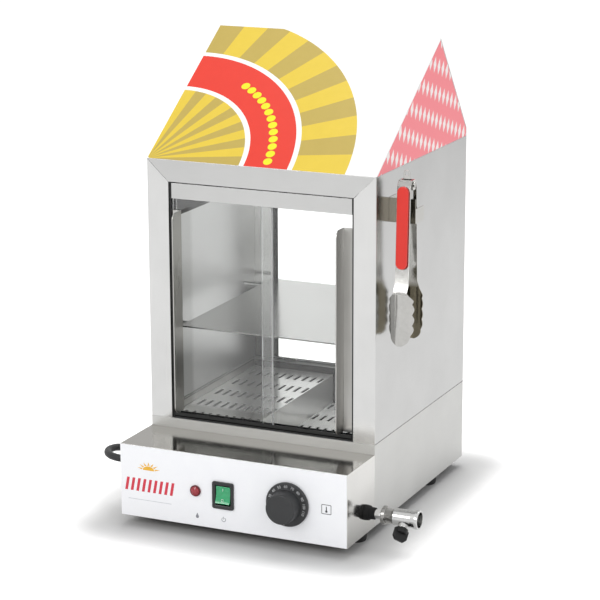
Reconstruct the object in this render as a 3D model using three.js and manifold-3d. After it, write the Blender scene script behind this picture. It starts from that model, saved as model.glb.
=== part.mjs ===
// Hot dog steamer: a water-heated base with a control box, a glass-fronted warming
// cabinet with two sliding doors, a pitched sign on top and serving tongs at its side.
// Lengths are millimetres. X runs from left to right, Y from front to back and Z up.
// Pieces are placed from the middle of the cabinet's front face, on the worktop. At the
// end the whole is moved so that the origin lies under the middle of its outline.
import * as THREE from 'three';
import { mergeVertices } from 'three/addons/utils/BufferGeometryUtils.js';
import Module from 'manifold-3d';

const wasm = await Module();
wasm.setup();

// Driving sizes
const cabinetWidth = 275;
const cabinetDepth = 273;
const cabinetHeight = 297.3;
const baseHeight = 94.5;
const footHeight = 12;
const controlBoxDepth = 75.4;
const controlBoxHeight = 83.3;
const signRise = 125;
const signRidgeSetback = 186;
const steel = 1;
const glass = 4;
const fitGap = 0.3;
const slideGap = 1.3;
const overrun = 5;
const roundSteps = 24;
const cornerSteps = 8;

// Places that many pieces share
const halfWidth = cabinetWidth / 2;
const insideX = halfWidth - steel;
const rearInside = cabinetDepth - steel;
const baseBottom = footHeight;
const baseTop = baseBottom + baseHeight;
const cabinetTop = baseTop + cabinetHeight;
const boxTop = baseBottom + controlBoxHeight;
const boxFront = -controlBoxDepth;

const steamer = new THREE.Group();

// Finishes
const brushedSteel = { color: 0xc9c8c4, roughness: 0.32, metalness: 1 };
const polishedSteel = { color: 0xdadada, roughness: 0.15, metalness: 1 };
const blackRubber = { color: 0x161616, roughness: 0.8, metalness: 0 };
const blackPlastic = { color: 0x1b1b1c, roughness: 0.45, metalness: 0 };
const whitePanel = { color: 0xf4f5f7, roughness: 0.35, metalness: 0 };
const signWhite = { color: 0xf8f6f0, roughness: 0.4, metalness: 0 };
const signRose = { color: 0xf4707c, roughness: 0.4, metalness: 0 };
const clearGlass = { color: 0xe8f2f0, roughness: 0.03, metalness: 0, transparent: true, opacity: 0.3 };
const gripRed = { color: 0xd8332a, roughness: 0.4, metalness: 0 };
const lampRed = { color: 0xb01c28, roughness: 0.2, metalness: 0 };
const rockerGreen = { color: 0x1ea468, roughness: 0.3, metalness: 0 };
const brassFinish = { color: 0xb89a52, roughness: 0.35, metalness: 1 };
const greyPlastic = { color: 0x8c8f92, roughness: 0.5, metalness: 0 };

// A closed geometry as a solid for joining and cutting
function solid(geometry) {
  const bare = geometry.clone();
  bare.deleteAttribute('normal');
  bare.deleteAttribute('uv');
  const merged = mergeVertices(bare);
  const index = merged.index.array;
  const triangles = [];
  for (let corner = 0; corner < index.length; corner += 3) {
    const [a, b, c] = [index[corner], index[corner + 1], index[corner + 2]];
    if (a !== b && b !== c && c !== a) triangles.push(a, b, c);
  }
  const vertProperties = new Float32Array(merged.attributes.position.array);
  const triVerts = new Uint32Array(triangles);
  return new wasm.Manifold(new wasm.Mesh({ numProp: 3, vertProperties, triVerts }));
}

// One named piece, from a solid, added to a group
function piece(group, name, shape, finish) {
  const mesh = shape.getMesh();
  const geometry = new THREE.BufferGeometry();
  const places = new Float32Array(mesh.vertProperties);
  geometry.setAttribute('position', new THREE.BufferAttribute(places, 3));
  geometry.setIndex(new THREE.BufferAttribute(new Uint32Array(mesh.triVerts), 1));
  geometry.computeVertexNormals();
  const made = new THREE.Mesh(geometry, new THREE.MeshStandardMaterial(finish));
  made.name = name;
  group.add(made);
  return made;
}

// A block between two limits on each axis
function block([x0, x1], [y0, y1], [z0, z1]) {
  const geometry = new THREE.BoxGeometry(x1 - x0, y1 - y0, z1 - z0);
  geometry.translate((x0 + x1) / 2, (y0 + y1) / 2, (z0 + z1) / 2);
  return solid(geometry);
}

function outlineShape(points) {
  return new THREE.Shape(points.map(([u, v]) => new THREE.Vector2(u, v)));
}

const alongX = new THREE.Vector3(1, 0, 0);
const alongY = new THREE.Vector3(0, 1, 0);
const alongZ = new THREE.Vector3(0, 0, 1);

// An outline of (y, z) points drawn out from x0 to x1
function prismX(shape, x0, x1) {
  const settings = { depth: x1 - x0, bevelEnabled: false, curveSegments: cornerSteps };
  const geometry = new THREE.ExtrudeGeometry(shape, settings);
  geometry.applyMatrix4(new THREE.Matrix4().makeBasis(alongY, alongZ, alongX));
  geometry.translate(x0, 0, 0);
  return solid(geometry);
}

// An outline of (x, z) points drawn out from y0 to y1
function prismY(shape, y0, y1) {
  const settings = { depth: y1 - y0, bevelEnabled: false, curveSegments: cornerSteps };
  const geometry = new THREE.ExtrudeGeometry(shape, settings);
  geometry.applyMatrix4(new THREE.Matrix4().makeBasis(alongX, alongZ, alongY.clone().negate()));
  geometry.translate(0, y1, 0);
  return solid(geometry);
}

// A profile of (radius, height) points turned about the Z axis
function turned(profile, steps = roundSteps) {
  const points = profile.map(([radius, height]) => new THREE.Vector2(radius, height));
  const geometry = new THREE.LatheGeometry(points, steps);
  geometry.rotateX(Math.PI / 2);
  return solid(geometry);
}

function rodZ(radius, z0, z1, steps = roundSteps) {
  return turned([[0, z0], [radius, z0], [radius, z1], [0, z1]], steps);
}

// Solids made about Z, laid along another axis and moved to their place
function laidAlongX(shape, x, y, z) {
  return shape.rotate([0, 90, 0]).translate([x, y, z]);
}

function laidAlongY(shape, x, y, z) {
  return shape.rotate([-90, 0, 0]).translate([x, y, z]);
}

// A rectangle with one radius at all four corners
function roundedRectangle(x0, x1, z0, z1, radius) {
  const shape = new THREE.Shape();
  shape.moveTo(x0 + radius, z0);
  shape.lineTo(x1 - radius, z0);
  shape.absarc(x1 - radius, z0 + radius, radius, -Math.PI / 2, 0);
  shape.lineTo(x1, z1 - radius);
  shape.absarc(x1 - radius, z1 - radius, radius, 0, Math.PI / 2);
  shape.lineTo(x0 + radius, z1);
  shape.absarc(x0 + radius, z1 - radius, radius, Math.PI / 2, Math.PI);
  shape.lineTo(x0, z0 + radius);
  shape.absarc(x0 + radius, z0 + radius, radius, Math.PI, Math.PI * 3 / 2);
  return shape;
}

// A round tube or bar along a curve
function swept(curve, radius, steps, sides, bore = 0) {
  const section = new THREE.Shape();
  section.absarc(0, 0, radius, 0, Math.PI * 2);
  if (bore > 0) section.holes.push(new THREE.Path().absarc(0, 0, bore, 0, Math.PI * 2, true));
  const settings = { extrudePath: curve, steps, curveSegments: sides / 2, bevelEnabled: false };
  return solid(new THREE.ExtrudeGeometry(section, settings));
}

// Water tank: it hangs by its rim under the base housing's top flange
const tankFront = 20;
const tankRearSpace = 9;
const tankSideSpace = 3;
const tankFloorHeight = 10;
const tankRimWidth = 1.8;
const tankX = halfWidth - tankSideSpace - steel / 2;
const tankRear = cabinetDepth - tankRearSpace;
const tankBottom = baseBottom + tankFloorHeight;
const tankTop = baseTop - steel;
const tankFloorTop = tankBottom + steel;
const waterX = tankX - steel;
const waterFront = tankFront + steel;
const waterRear = tankRear - steel;

// What passes through the front walls of the tank and the base
const elementRadius = 4;
const elementSpread = 25;
const elementHeight = 14;
const elementZ = tankFloorTop + elementHeight;
const drainInset = 37.5;
const drainX = halfWidth - drainInset;
const drainRadius = 5.2;
const drainHeight = 25.5;
const drainZ = baseBottom + drainHeight;
const drainY = -25;
const probeRadius = 3;
const probeInset = 69.4;
const probeX = halfWidth - probeInset;
const probeZ = elementZ + elementRadius * 2 + probeRadius;
const sensorX = -66;
const sensorRadius = 4;
const sensorZ = probeZ;

function frontWallHoles(y0, y1) {
  const hole = (radius, x, z) => laidAlongY(rodZ(radius + fitGap, y0, y1), x, 0, z);
  return hole(elementRadius, -elementSpread, elementZ)
    .add(hole(elementRadius, elementSpread, elementZ))
    .add(hole(drainRadius, drainX, drainZ))
    .add(hole(probeRadius, probeX, probeZ))
    .add(hole(sensorRadius, sensorX, sensorZ));
}

function waterTank(group) {
  const rim = block([-tankX - tankRimWidth, tankX + tankRimWidth],
    [tankFront - tankRimWidth, tankRear + tankRimWidth], [tankTop - steel, tankTop]);
  const outside = block([-tankX, tankX], [tankFront, tankRear], [tankBottom, tankTop]);
  const water = block([-waterX, waterX], [waterFront, waterRear], [tankFloorTop, tankTop + overrun]);
  const walls = outside.add(rim).subtract(water);
  const holes = frontWallHoles(tankFront - overrun, waterFront + overrun);
  piece(group, 'water_tank', walls.subtract(holes), brushedSteel);
}

// Base housing: four folded walls with a narrow flange round the tank
function baseHousing(group) {
  const outside = block([-halfWidth, halfWidth], [0, cabinetDepth], [baseBottom, baseTop]);
  const inside = block([-insideX, insideX], [steel, rearInside], [baseBottom - overrun, baseTop - steel]);
  const mouth = block([-tankX, tankX], [tankFront, tankRear], [baseTop - steel - overrun, baseTop + overrun]);
  const holes = frontWallHoles(-overrun, steel + overrun);
  piece(group, 'base_housing', outside.subtract(inside).subtract(mouth).subtract(holes), brushedSteel);
  const floor = block([-insideX, insideX], [steel, rearInside], [baseBottom, baseBottom + steel]);
  piece(group, 'base_floor', floor, brushedSteel);
}

// Feet: rubber cones, two under the control box and two under the base
const footRadius = 13.5;
const footTipRadius = 12;
const footInset = 16.5;
const footX = halfWidth - footInset;
const footFrontY = -14;
const footRearY = 196;
const footEdge = 1.5;

function feet(group) {
  const profile = [[0, 0], [footTipRadius - footEdge, 0], [footTipRadius, footEdge],
    [footRadius, footHeight - footEdge], [footRadius, footHeight], [0, footHeight]];
  const places = { front_left: [-footX, footFrontY], front_right: [footX, footFrontY],
    rear_left: [-footX, footRearY], rear_right: [footX, footRearY] };
  for (const [name, [x, y]] of Object.entries(places)) {
    piece(group, `foot_${name}`, turned(profile), blackRubber).position.set(x, y, 0);
  }
}

// Heating element: a sheathed bar that runs to the back of the tank and returns
const elementFrontY = -16;
const elementLength = 226;
const elementCollarRadius = 8;
const elementCollar = 3;
const elementSteps = 24;
const elementSides = 8;

function heatingElement(group) {
  const bend = elementSpread;
  const turnY = elementFrontY + elementLength - bend;
  const path = new THREE.CurvePath();
  path.add(new THREE.LineCurve3(new THREE.Vector3(-bend, elementFrontY, elementZ),
    new THREE.Vector3(-bend, turnY, elementZ)));
  const arcPoints = [];
  for (let step = 0; step <= roundSteps; step += 1) {
    const angle = Math.PI - Math.PI * step / roundSteps;
    arcPoints.push(new THREE.Vector3(bend * Math.cos(angle), turnY + bend * Math.sin(angle), elementZ));
  }
  path.add(new THREE.CatmullRomCurve3(arcPoints));
  path.add(new THREE.LineCurve3(new THREE.Vector3(bend, turnY, elementZ),
    new THREE.Vector3(bend, elementFrontY, elementZ)));
  let bar = swept(path, elementRadius, elementSteps, elementSides);
  for (const x of [-bend, bend]) {
    bar = bar.add(laidAlongY(rodZ(elementCollarRadius, waterFront, waterFront + elementCollar), x, 0, elementZ));
  }
  piece(group, 'heating_element', bar, polishedSteel);
}

// Control box: a folded box in front of the base, open towards it
const panelSheet = 0.8;
const panelMargin = 0.5;
const panelFront = boxFront - panelSheet;
const lampX = -43.6;
const lampHeight = 41;
const lampZ = baseBottom + lampHeight;
const lampRadius = 6.4;
const lampNeckRadius = 4.8;
const switchX = -9.7;
const switchMiddleHeight = 40;
const switchZ = baseBottom + switchMiddleHeight;
const switchWidth = 25.8;
const switchHeight = 31;
const switchNeckWidth = 20.8;
const switchNeckHeight = 26.4;
const knobInset = 69.4;
const knobX = halfWidth - knobInset;
const knobHeight = 41.5;
const knobZ = baseBottom + knobHeight;
const spindleRadius = 3;
const glandY = -19;
const glandHeight = 44;
const glandZ = baseBottom + glandHeight;
const glandNeckRadius = 7;
const drainNeckRadius = 6.2;

function controlOpenings(y0, y1) {
  const halfW = switchNeckWidth / 2 + fitGap;
  const halfH = switchNeckHeight / 2 + fitGap;
  const cutout = block([switchX - halfW, switchX + halfW], [y0, y1], [switchZ - halfH, switchZ + halfH]);
  return cutout
    .add(laidAlongY(rodZ(lampNeckRadius + fitGap, y0, y1), lampX, 0, lampZ))
    .add(laidAlongY(rodZ(spindleRadius * 2, y0, y1), knobX, 0, knobZ));
}

function controlBox(group) {
  const outside = block([-halfWidth, halfWidth], [boxFront, 0], [baseBottom, boxTop]);
  const inside = block([-insideX, insideX], [boxFront + steel, overrun], [baseBottom + steel, boxTop - steel]);
  const front = controlOpenings(boxFront - overrun, boxFront + steel + overrun);
  const sideHole = (radius, x, y, z) => laidAlongX(rodZ(radius + fitGap, 0, overrun + steel), x, y, z);
  const glandHole = sideHole(glandNeckRadius, -halfWidth - overrun / 2, glandY, glandZ);
  const drainHole = sideHole(drainNeckRadius, insideX - overrun / 2, drainY, drainZ);
  const shell = outside.subtract(inside).subtract(front).subtract(glandHole).subtract(drainHole);
  piece(group, 'control_box', shell, brushedSteel);
  const plate = block([-halfWidth + panelMargin, halfWidth - panelMargin], [panelFront, boxFront],
    [baseBottom + panelMargin, boxTop - panelMargin]);
  const openings = controlOpenings(panelFront - overrun, boxFront + overrun);
  piece(group, 'control_panel', plate.subtract(openings), whitePanel);
}

// Signal lamp: a bezel with a neck through the panel and a red lens in it
const lampBezelHeight = 2.4;
const lampLensRadius = 5.2;
const lampLensRise = 1.6;
const lampBodyLength = 22;
const lampSeat = 1.2;
const lampShoulderShare = 0.7;
const lampRimShare = 0.95;

function signalLamp(group) {
  const bezel = turned([[0, -lampBodyLength], [lampNeckRadius, -lampBodyLength], [lampNeckRadius, 0],
    [lampRadius, 0], [lampRadius, lampBezelHeight * lampShoulderShare],
    [lampRadius * lampRimShare, lampBezelHeight],
    [lampLensRadius + fitGap, lampBezelHeight], [lampLensRadius + fitGap, lampSeat], [0, lampSeat]]);
  const lens = turned([[0, lampSeat], [lampLensRadius, lampSeat], [lampLensRadius, lampBezelHeight],
    [lampLensRadius * lampShoulderShare, lampBezelHeight + lampLensRise * lampShoulderShare],
    [0, lampBezelHeight + lampLensRise]]);
  const place = (shape) => shape.rotate([90, 0, 0]).translate([lampX, panelFront, lampZ]);
  piece(group, 'signal_lamp_bezel', place(bezel), blackPlastic);
  piece(group, 'signal_lamp_lens', place(lens), lampRed);
}

// Power switch: a snap-in housing and a rocker that tips about a pin across it
const switchRim = 2.2;
const switchBody = 26;
const rockerWidth = 17.6;
const rockerHeight = 19.6;
const rockerWell = 13;
const rockerEndSpace = 1.4;
const rockerDepth = 9;
const rockerCrown = 1.6;
const rockerTilt = 8;
const rockerPivotShare = 0.6;
const switchFront = panelFront - switchRim;
const rockerPivotY = switchFront + rockerDepth * rockerPivotShare;

function powerSwitch(group) {
  const rim = block([switchX - switchWidth / 2, switchX + switchWidth / 2], [switchFront, panelFront],
    [switchZ - switchHeight / 2, switchZ + switchHeight / 2]);
  const neck = block([switchX - switchNeckWidth / 2, switchX + switchNeckWidth / 2],
    [panelFront, panelFront + switchBody],
    [switchZ - switchNeckHeight / 2, switchZ + switchNeckHeight / 2]);
  const well = block([switchX - rockerWidth / 2 - fitGap, switchX + rockerWidth / 2 + fitGap],
    [switchFront - overrun, switchFront + rockerWell],
    [switchZ - rockerHeight / 2 - rockerEndSpace, switchZ + rockerHeight / 2 + rockerEndSpace]);
  piece(group, 'switch_housing', rim.add(neck).subtract(well), blackPlastic);
  const half = rockerHeight / 2;
  const front = -rockerDepth * rockerPivotShare;
  const back = front + rockerDepth;
  const profile = outlineShape([[front - rockerCrown / 4, -half], [front + rockerCrown, 0],
    [front - rockerCrown / 4, half], [0, half], [back, half / 2], [back, -half / 2], [0, -half]].reverse());
  const rocker = prismX(profile, -rockerWidth / 2, rockerWidth / 2);
  const made = piece(group, 'switch_rocker', rocker, rockerGreen);
  made.position.set(switchX, rockerPivotY, switchZ);
  made.rotation.x = THREE.MathUtils.degToRad(-rockerTilt);
}

// Thermostat: body behind the panel, knob on its spindle and a probe into the water
const thermostatSize = 36;
const thermostatDepth = 30;
const knobSkirtRadius = 25;
const knobSkirt = 4.5;
const knobCapRadius = 17;
const knobReach = 22;
const knobGap = 0.6;
const knobEdge = 1.5;
const spindleDepth = 12;
const capillaryRadius = 1.2;
const probeLength = 90;

function thermostat(group) {
  const back = boxFront + steel + thermostatDepth;
  const half = thermostatSize / 2;
  const body = block([knobX - half, knobX + half], [boxFront + steel, back], [knobZ - half, knobZ + half]);
  const boreRod = rodZ(spindleRadius + fitGap, 0, spindleDepth + steel + overrun);
  const bore = laidAlongY(boreRod, knobX, boxFront - overrun, knobZ);
  piece(group, 'thermostat_body', body.subtract(bore), greyPlastic);
  const knob = turned([[0, -spindleDepth], [spindleRadius, -spindleDepth], [spindleRadius, knobGap],
    [knobSkirtRadius, knobGap], [knobSkirtRadius, knobSkirt - knobEdge], [knobSkirtRadius - knobEdge, knobSkirt],
    [knobCapRadius + knobEdge, knobSkirt + knobEdge], [knobCapRadius, knobReach - knobEdge],
    [knobCapRadius - knobEdge, knobReach], [0, knobReach]], roundSteps + roundSteps / 2);
  piece(group, 'thermostat_knob', knob.rotate([90, 0, 0]).translate([knobX, panelFront, knobZ]), blackPlastic);
  const bulbStart = waterFront + steel;
  const probe = turned([[0, back], [capillaryRadius, back], [capillaryRadius, bulbStart],
    [probeRadius, bulbStart], [probeRadius, bulbStart + probeLength], [0, bulbStart + probeLength]]);
  piece(group, 'thermostat_probe', laidAlongY(probe, probeX, 0, probeZ), polishedSteel);
}

// Low-water sensor: a threaded plug in the tank's front wall with a rod in the water
const sensorHeadRadius = 9;
const sensorHead = 14;
const sensorRod = 40;
const sensorRodRadius = 2.5;
const sensorCollar = 2.5;

function lowWaterSensor(group) {
  const inner = waterFront + fitGap;
  const body = turned([[0, steel], [sensorHeadRadius, steel], [sensorHeadRadius, steel + sensorHead],
    [sensorRadius, steel + sensorHead], [sensorRadius, inner], [sensorRadius + sensorCollar, inner],
    [sensorRadius + sensorCollar, inner + sensorCollar], [sensorRodRadius, inner + sensorCollar],
    [sensorRodRadius, inner + sensorRod], [0, inner + sensorRod]]);
  piece(group, 'low_water_sensor', laidAlongY(body, sensorX, 0, sensorZ), brassFinish);
}

// Drain: a pipe from the tank to the box's right wall, then a tap with a wing handle
const drainBore = 3.8;
const drainElbow = 22;
const drainSteps = 14;
const drainSides = 12;
const grommetFlangeRadius = 8.8;
const grommetFlange = 5.5;
const grommetNeck = 6.5;
const tapPipe = 8.6;
const tapNutRadius = 10.5;
const tapNut = 5;
const tapThreadRadius = 8.6;
const tapThread = 8.6;
const tapBodyRadius = 9.6;
const tapBody = 29.4;
const tapFlareRadius = 10.8;
const tapFlare = 9;
const tapOutletRadius = 8.5;
const tapOutletDepth = 14;
const tapBossRadius = 5.5;
const tapBoss = 12.5;
const tapBossShare = 0.42;
const grommetTaperShare = 0.92;
const grommetStepShare = 1.05;
const tapPipeStart = halfWidth + grommetFlange + grommetNeck;
const tapNutStart = tapPipeStart + tapPipe;
const tapBodyStart = tapNutStart + tapNut + tapThread;
const tapEnd = tapBodyStart + tapBody;
const handleX = tapBodyStart + tapBody * tapBossShare;
const handleLean = 45;
const handleTurn = 45;

function drainPipe(group) {
  const start = new THREE.Vector3(drainX, waterFront, drainZ);
  const bendStart = new THREE.Vector3(drainX, drainY + drainElbow, drainZ);
  const corner = new THREE.Vector3(drainX, drainY, drainZ);
  const bendEnd = new THREE.Vector3(drainX + drainElbow, drainY, drainZ);
  const end = new THREE.Vector3(tapNutStart + tapNut, drainY, drainZ);
  const path = new THREE.CurvePath();
  path.add(new THREE.LineCurve3(start, bendStart));
  path.add(new THREE.QuadraticBezierCurve3(bendStart, corner, bendEnd));
  path.add(new THREE.LineCurve3(bendEnd, end));
  piece(group, 'drain_pipe', swept(path, drainRadius, drainSteps, drainSides, drainBore), polishedSteel);
}

function drainTap(group) {
  const bore = drainRadius + fitGap;
  const place = (shape) => laidAlongX(shape, 0, drainY, drainZ);
  const grommet = turned([[bore, insideX - steel], [drainNeckRadius, insideX - steel],
    [drainNeckRadius, halfWidth], [grommetFlangeRadius, halfWidth],
    [grommetFlangeRadius * grommetTaperShare, halfWidth + grommetFlange],
    [drainNeckRadius * grommetStepShare, halfWidth + grommetFlange], [drainNeckRadius, tapPipeStart],
    [bore, tapPipeStart],
    [bore, insideX - steel]]);
  piece(group, 'drain_grommet', place(grommet), blackRubber);
  const nutEnd = tapNutStart + tapNut;
  const nut = turned([[bore, tapNutStart], [tapNutRadius, tapNutStart], [tapNutRadius, nutEnd],
    [tapThreadRadius, nutEnd], [tapThreadRadius, tapBodyStart - fitGap], [bore, tapBodyStart - fitGap],
    [bore, tapNutStart]], roundSteps);
  piece(group, 'drain_nut', place(nut), polishedSteel);
  const body = turned([[0, tapBodyStart], [tapBodyRadius, tapBodyStart], [tapBodyRadius, tapEnd - tapFlare],
    [tapFlareRadius, tapEnd - tapFlare / 3], [tapFlareRadius, tapEnd], [tapOutletRadius, tapEnd],
    [tapOutletRadius, tapEnd - tapOutletDepth], [0, tapEnd - tapOutletDepth]]);
  const boss = rodZ(tapBossRadius, 0, tapBoss).rotate([180 - handleLean, 0, 0])
    .translate([handleX, drainY, drainZ]);
  const outlet = place(rodZ(tapOutletRadius, tapEnd - tapOutletDepth, tapEnd + overrun));
  piece(group, 'drain_body', place(body).add(boss).subtract(outlet), polishedSteel);
}

// The handle's local Z is its stem, so the group that leans it turns about that line. It
// stands half open, as it does in use.
const wingLength = 17;
const wingWidth = 8;
const wingHeight = 15;
const wingHub = 7;
const wingCorner = 2.5;
const wingHubShare = 0.45;

function drainHandle(group) {
  const leaning = new THREE.Group();
  leaning.position.set(handleX, drainY, drainZ);
  leaning.rotation.x = THREE.MathUtils.degToRad(180 - handleLean);
  leaning.rotation.z = -THREE.MathUtils.degToRad(handleTurn);
  const start = tapBoss + fitGap;
  const blade = prismY(roundedRectangle(-wingLength / 2, wingLength / 2, start, start + wingHeight, wingCorner),
    -wingWidth / 4, wingWidth / 4);
  const hub = rodZ(wingHub, start, start + wingHeight * wingHubShare);
  piece(leaning, 'drain_handle', blade.add(hub), blackPlastic);
  group.add(leaning);
}

// Cable gland: a nut on the left wall and a tapered sleeve that the cord leaves
const cordDiameter = 8.5;
const cordRadius = cordDiameter / 2;
const glandNutRadius = 10.5;
const glandNut = 6;
const glandLength = 24;
const glandTipRadius = 6;
const glandInside = 8;
const glandNutSides = 6;
const glandShoulderRadius = 8;

function cableGland(group) {
  const nut = turned([[0, 0], [glandNutRadius, 0], [glandNutRadius, glandNut], [0, glandNut]], glandNutSides);
  const sleeve = turned([[0, -glandInside], [glandNeckRadius, -glandInside], [glandNeckRadius, 0],
    [glandShoulderRadius, 0], [glandShoulderRadius, glandNut], [glandTipRadius, glandLength], [0, glandLength]]);
  const gland = nut.add(sleeve).rotate([0, -90, 0]).translate([-halfWidth, glandY, glandZ]);
  piece(group, 'cable_gland', gland, blackPlastic);
}

// Mains cord: the points of its middle line from the gland to the coil behind the base
const cordRoute = [
  [-161.8, -19, 56], [-166, -19, 56], [-176, -17.5, 55.9], [-186, -12.5, 55.6], [-194, -4, 55],
  [-199, 6.5, 54.2], [-200.5, 18, 53], [-200.5, 32, 50], [-200, 50, 43.5], [-198.5, 68, 34.5],
  [-196, 86, 24.5], [-193, 104, 15.3], [-190, 122, 8.4], [-187, 140, 4.9], [-184, 158, 4.25],
  [-179.5, 190, 4.25], [-175, 215, 4.25], [-168.5, 240, 4.25], [-158, 264, 4.25], [-144, 287, 4.25],
  [-130, 304, 4.25], [-119, 318, 4.25], [-112, 329, 4.25], [-109, 336, 4.25], [-108.5, 344.7, 4.25],
];
const cordStep = 2.5;
const cordSides = 8;

function mainsCord(group) {
  const curve = new THREE.CatmullRomCurve3(cordRoute.map((point) => new THREE.Vector3(...point)));
  const steps = Math.round(curve.getLength() / (cordDiameter * cordStep));
  piece(group, 'mains_cord', swept(curve, cordRadius, steps, cordSides), blackRubber);
}

// Cord coil: it winds in on the worktop, climbs where it turns back and winds out above
const coilX = -50;
const coilY = 355;
const coilLead = 10;
const coilTail = 20;
const coilTurns = 4.25;
const coilInnerRadius = 38.5;
const coilSideGap = 0.9;
const coilLayerGap = 0.7;
const coilStepsPerTurn = 24;
const coilSides = 6;
const coilClimb = 0.5;
const coilLayer = cordDiameter + coilLayerGap;
const coilTopZ = cordRadius + coilLayer;

function coilPoint(turn) {
  const fromTurnBack = Math.abs(turn - coilTurns / 2);
  const radius = coilInnerRadius + (cordDiameter + coilSideGap) * fromTurnBack;
  const climbStart = coilTurns / 2 - coilClimb / 2;
  const climbed = THREE.MathUtils.clamp((turn - climbStart) / coilClimb, 0, 1);
  const angle = Math.PI - turn * Math.PI * 2;
  return new THREE.Vector3(coilX + radius * Math.cos(angle), coilY + radius * Math.sin(angle),
    cordRadius + coilLayer * climbed);
}

function coilLine() {
  const line = [];
  const steps = coilTurns * coilStepsPerTurn;
  const first = coilPoint(0);
  line.push(first.clone().add(new THREE.Vector3(0, -coilLead, 0)));
  for (let step = 0; step <= steps; step += 1) line.push(coilPoint(step / coilStepsPerTurn));
  const last = coilPoint(coilTurns);
  line.push(last.clone().add(new THREE.Vector3(coilTail / 2, 0, 0)));
  line.push(last.clone().add(new THREE.Vector3(coilTail, 0, 0)));
  return line;
}

// The narrowest space between two stretches of the line that are over half a turn apart
function leastGap(line) {
  let least = Infinity;
  for (let first = 0; first < line.length; first += 1) {
    for (let second = first + coilStepsPerTurn / 2; second < line.length; second += 1) {
      least = Math.min(least, line[first].distanceTo(line[second]) - cordDiameter);
    }
  }
  return least;
}

function cordCoil(group) {
  const line = coilLine();
  console.log(`cord coil: least gap ${leastGap(line).toFixed(2)} mm`);
  const places = [];
  const rings = line.length;
  for (let ring = 0; ring < rings; ring += 1) {
    const before = line[Math.max(ring - 1, 0)];
    const after = line[Math.min(ring + 1, rings - 1)];
    const ahead = after.clone().sub(before);
    if (ring === 0) ahead.set(0, 1, 0);
    if (ring >= rings - 2) ahead.set(1, 0, 0);
    ahead.normalize();
    const side = new THREE.Vector3().crossVectors(ahead, alongZ).normalize();
    const up = new THREE.Vector3().crossVectors(side, ahead);
    for (let corner = 0; corner < coilSides; corner += 1) {
      const angle = Math.PI * 2 * (corner + 1 / 2) / coilSides;
      const at = line[ring].clone().addScaledVector(side, cordRadius * Math.cos(angle))
        .addScaledVector(up, cordRadius * Math.sin(angle));
      places.push(at.x, at.y, at.z);
    }
  }
  const index = [];
  for (let ring = 0; ring < rings - 1; ring += 1) {
    for (let corner = 0; corner < coilSides; corner += 1) {
      const next = (corner + 1) % coilSides;
      const [a, b] = [ring * coilSides + corner, ring * coilSides + next];
      const [c, d] = [a + coilSides, b + coilSides];
      index.push(a, c, b, b, c, d);
    }
  }
  const lastRing = (rings - 1) * coilSides;
  for (let corner = 1; corner < coilSides - 1; corner += 1) {
    index.push(0, corner, corner + 1, lastRing, lastRing + corner + 1, lastRing + corner);
  }
  const geometry = new THREE.BufferGeometry();
  geometry.setAttribute('position', new THREE.Float32BufferAttribute(places, 3));
  geometry.setIndex(index);
  piece(group, 'cord_coil', solid(geometry), blackRubber);
}

// Mains plug: it lies on the worktop beside the coil, at the height of the upper layer
const plugSleeve = 22;
const plugBody = 34;
const plugRadius = coilTopZ;
const plugSleeveRadius = 5.6;
const plugSleeveEndRadius = 7.3;
const plugPinRadius = 2.4;
const plugPin = 19;
const plugPinSpread = 9.5;
const plugEdge = 3;

function mainsPlug(group) {
  const face = plugSleeve + plugBody;
  const body = turned([[0, 0], [plugSleeveRadius, 0], [plugSleeveEndRadius, plugSleeve],
    [plugRadius - plugEdge, plugSleeve], [plugRadius, plugSleeve + plugEdge], [plugRadius, face], [0, face]]);
  const pin = rodZ(plugPinRadius, face - plugEdge, face + plugPin, roundSteps / 2);
  const plug = body.add(pin.translate([0, plugPinSpread, 0])).add(pin.translate([0, -plugPinSpread, 0]));
  const end = coilPoint(coilTurns);
  piece(group, 'mains_plug', laidAlongX(plug, end.x + coilTail + fitGap, end.y, end.z), blackPlastic);
}

// Cabinet shell: two side walls, a top and the front frame with mitred corners
const frameWidth = 26;
const railHeight = 24.5;
const frameReturn = 20;
const openingX = halfWidth - frameWidth;
const openingTop = cabinetTop - railHeight;

function cabinetShell(group) {
  const wallZ = [baseTop, cabinetTop - steel];
  piece(group, 'left_wall', block([-halfWidth, -insideX], [steel, rearInside], wallZ), brushedSteel);
  piece(group, 'right_wall', block([insideX, halfWidth], [steel, rearInside], wallZ), brushedSteel);
  const top = block([-halfWidth, halfWidth], [steel, rearInside], [cabinetTop - steel, cabinetTop]);
  piece(group, 'cabinet_top', top, brushedSteel);
}

function frontFrame(group) {
  const mitre = (sign) => outlineShape(sign > 0
    ? [[openingX, baseTop], [halfWidth, baseTop], [halfWidth, cabinetTop - fitGap],
      [openingX, openingTop - fitGap]]
    : [[-halfWidth, baseTop], [-openingX, baseTop], [-openingX, openingTop - fitGap],
      [-halfWidth, cabinetTop - fitGap]]);
  const returnY = [0, steel + frameReturn];
  const returnZ = [baseTop, openingTop - fitGap];
  const leftReturn = block([-openingX - steel, -openingX], returnY, returnZ);
  const rightReturn = block([openingX, openingX + steel], returnY, returnZ);
  const leftPost = prismY(mitre(-1), 0, steel).add(leftReturn);
  const rightPost = prismY(mitre(1), 0, steel).add(rightReturn);
  piece(group, 'front_left_post', leftPost, brushedSteel);
  piece(group, 'front_right_post', rightPost, brushedSteel);
  const face = outlineShape([[-openingX, openingTop], [openingX, openingTop],
    [halfWidth, cabinetTop], [-halfWidth, cabinetTop]]);
  const lip = block([-openingX, openingX], returnY, [openingTop, openingTop + steel]);
  piece(group, 'front_top_rail', prismY(face, 0, steel).add(lip), brushedSteel);
}

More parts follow.
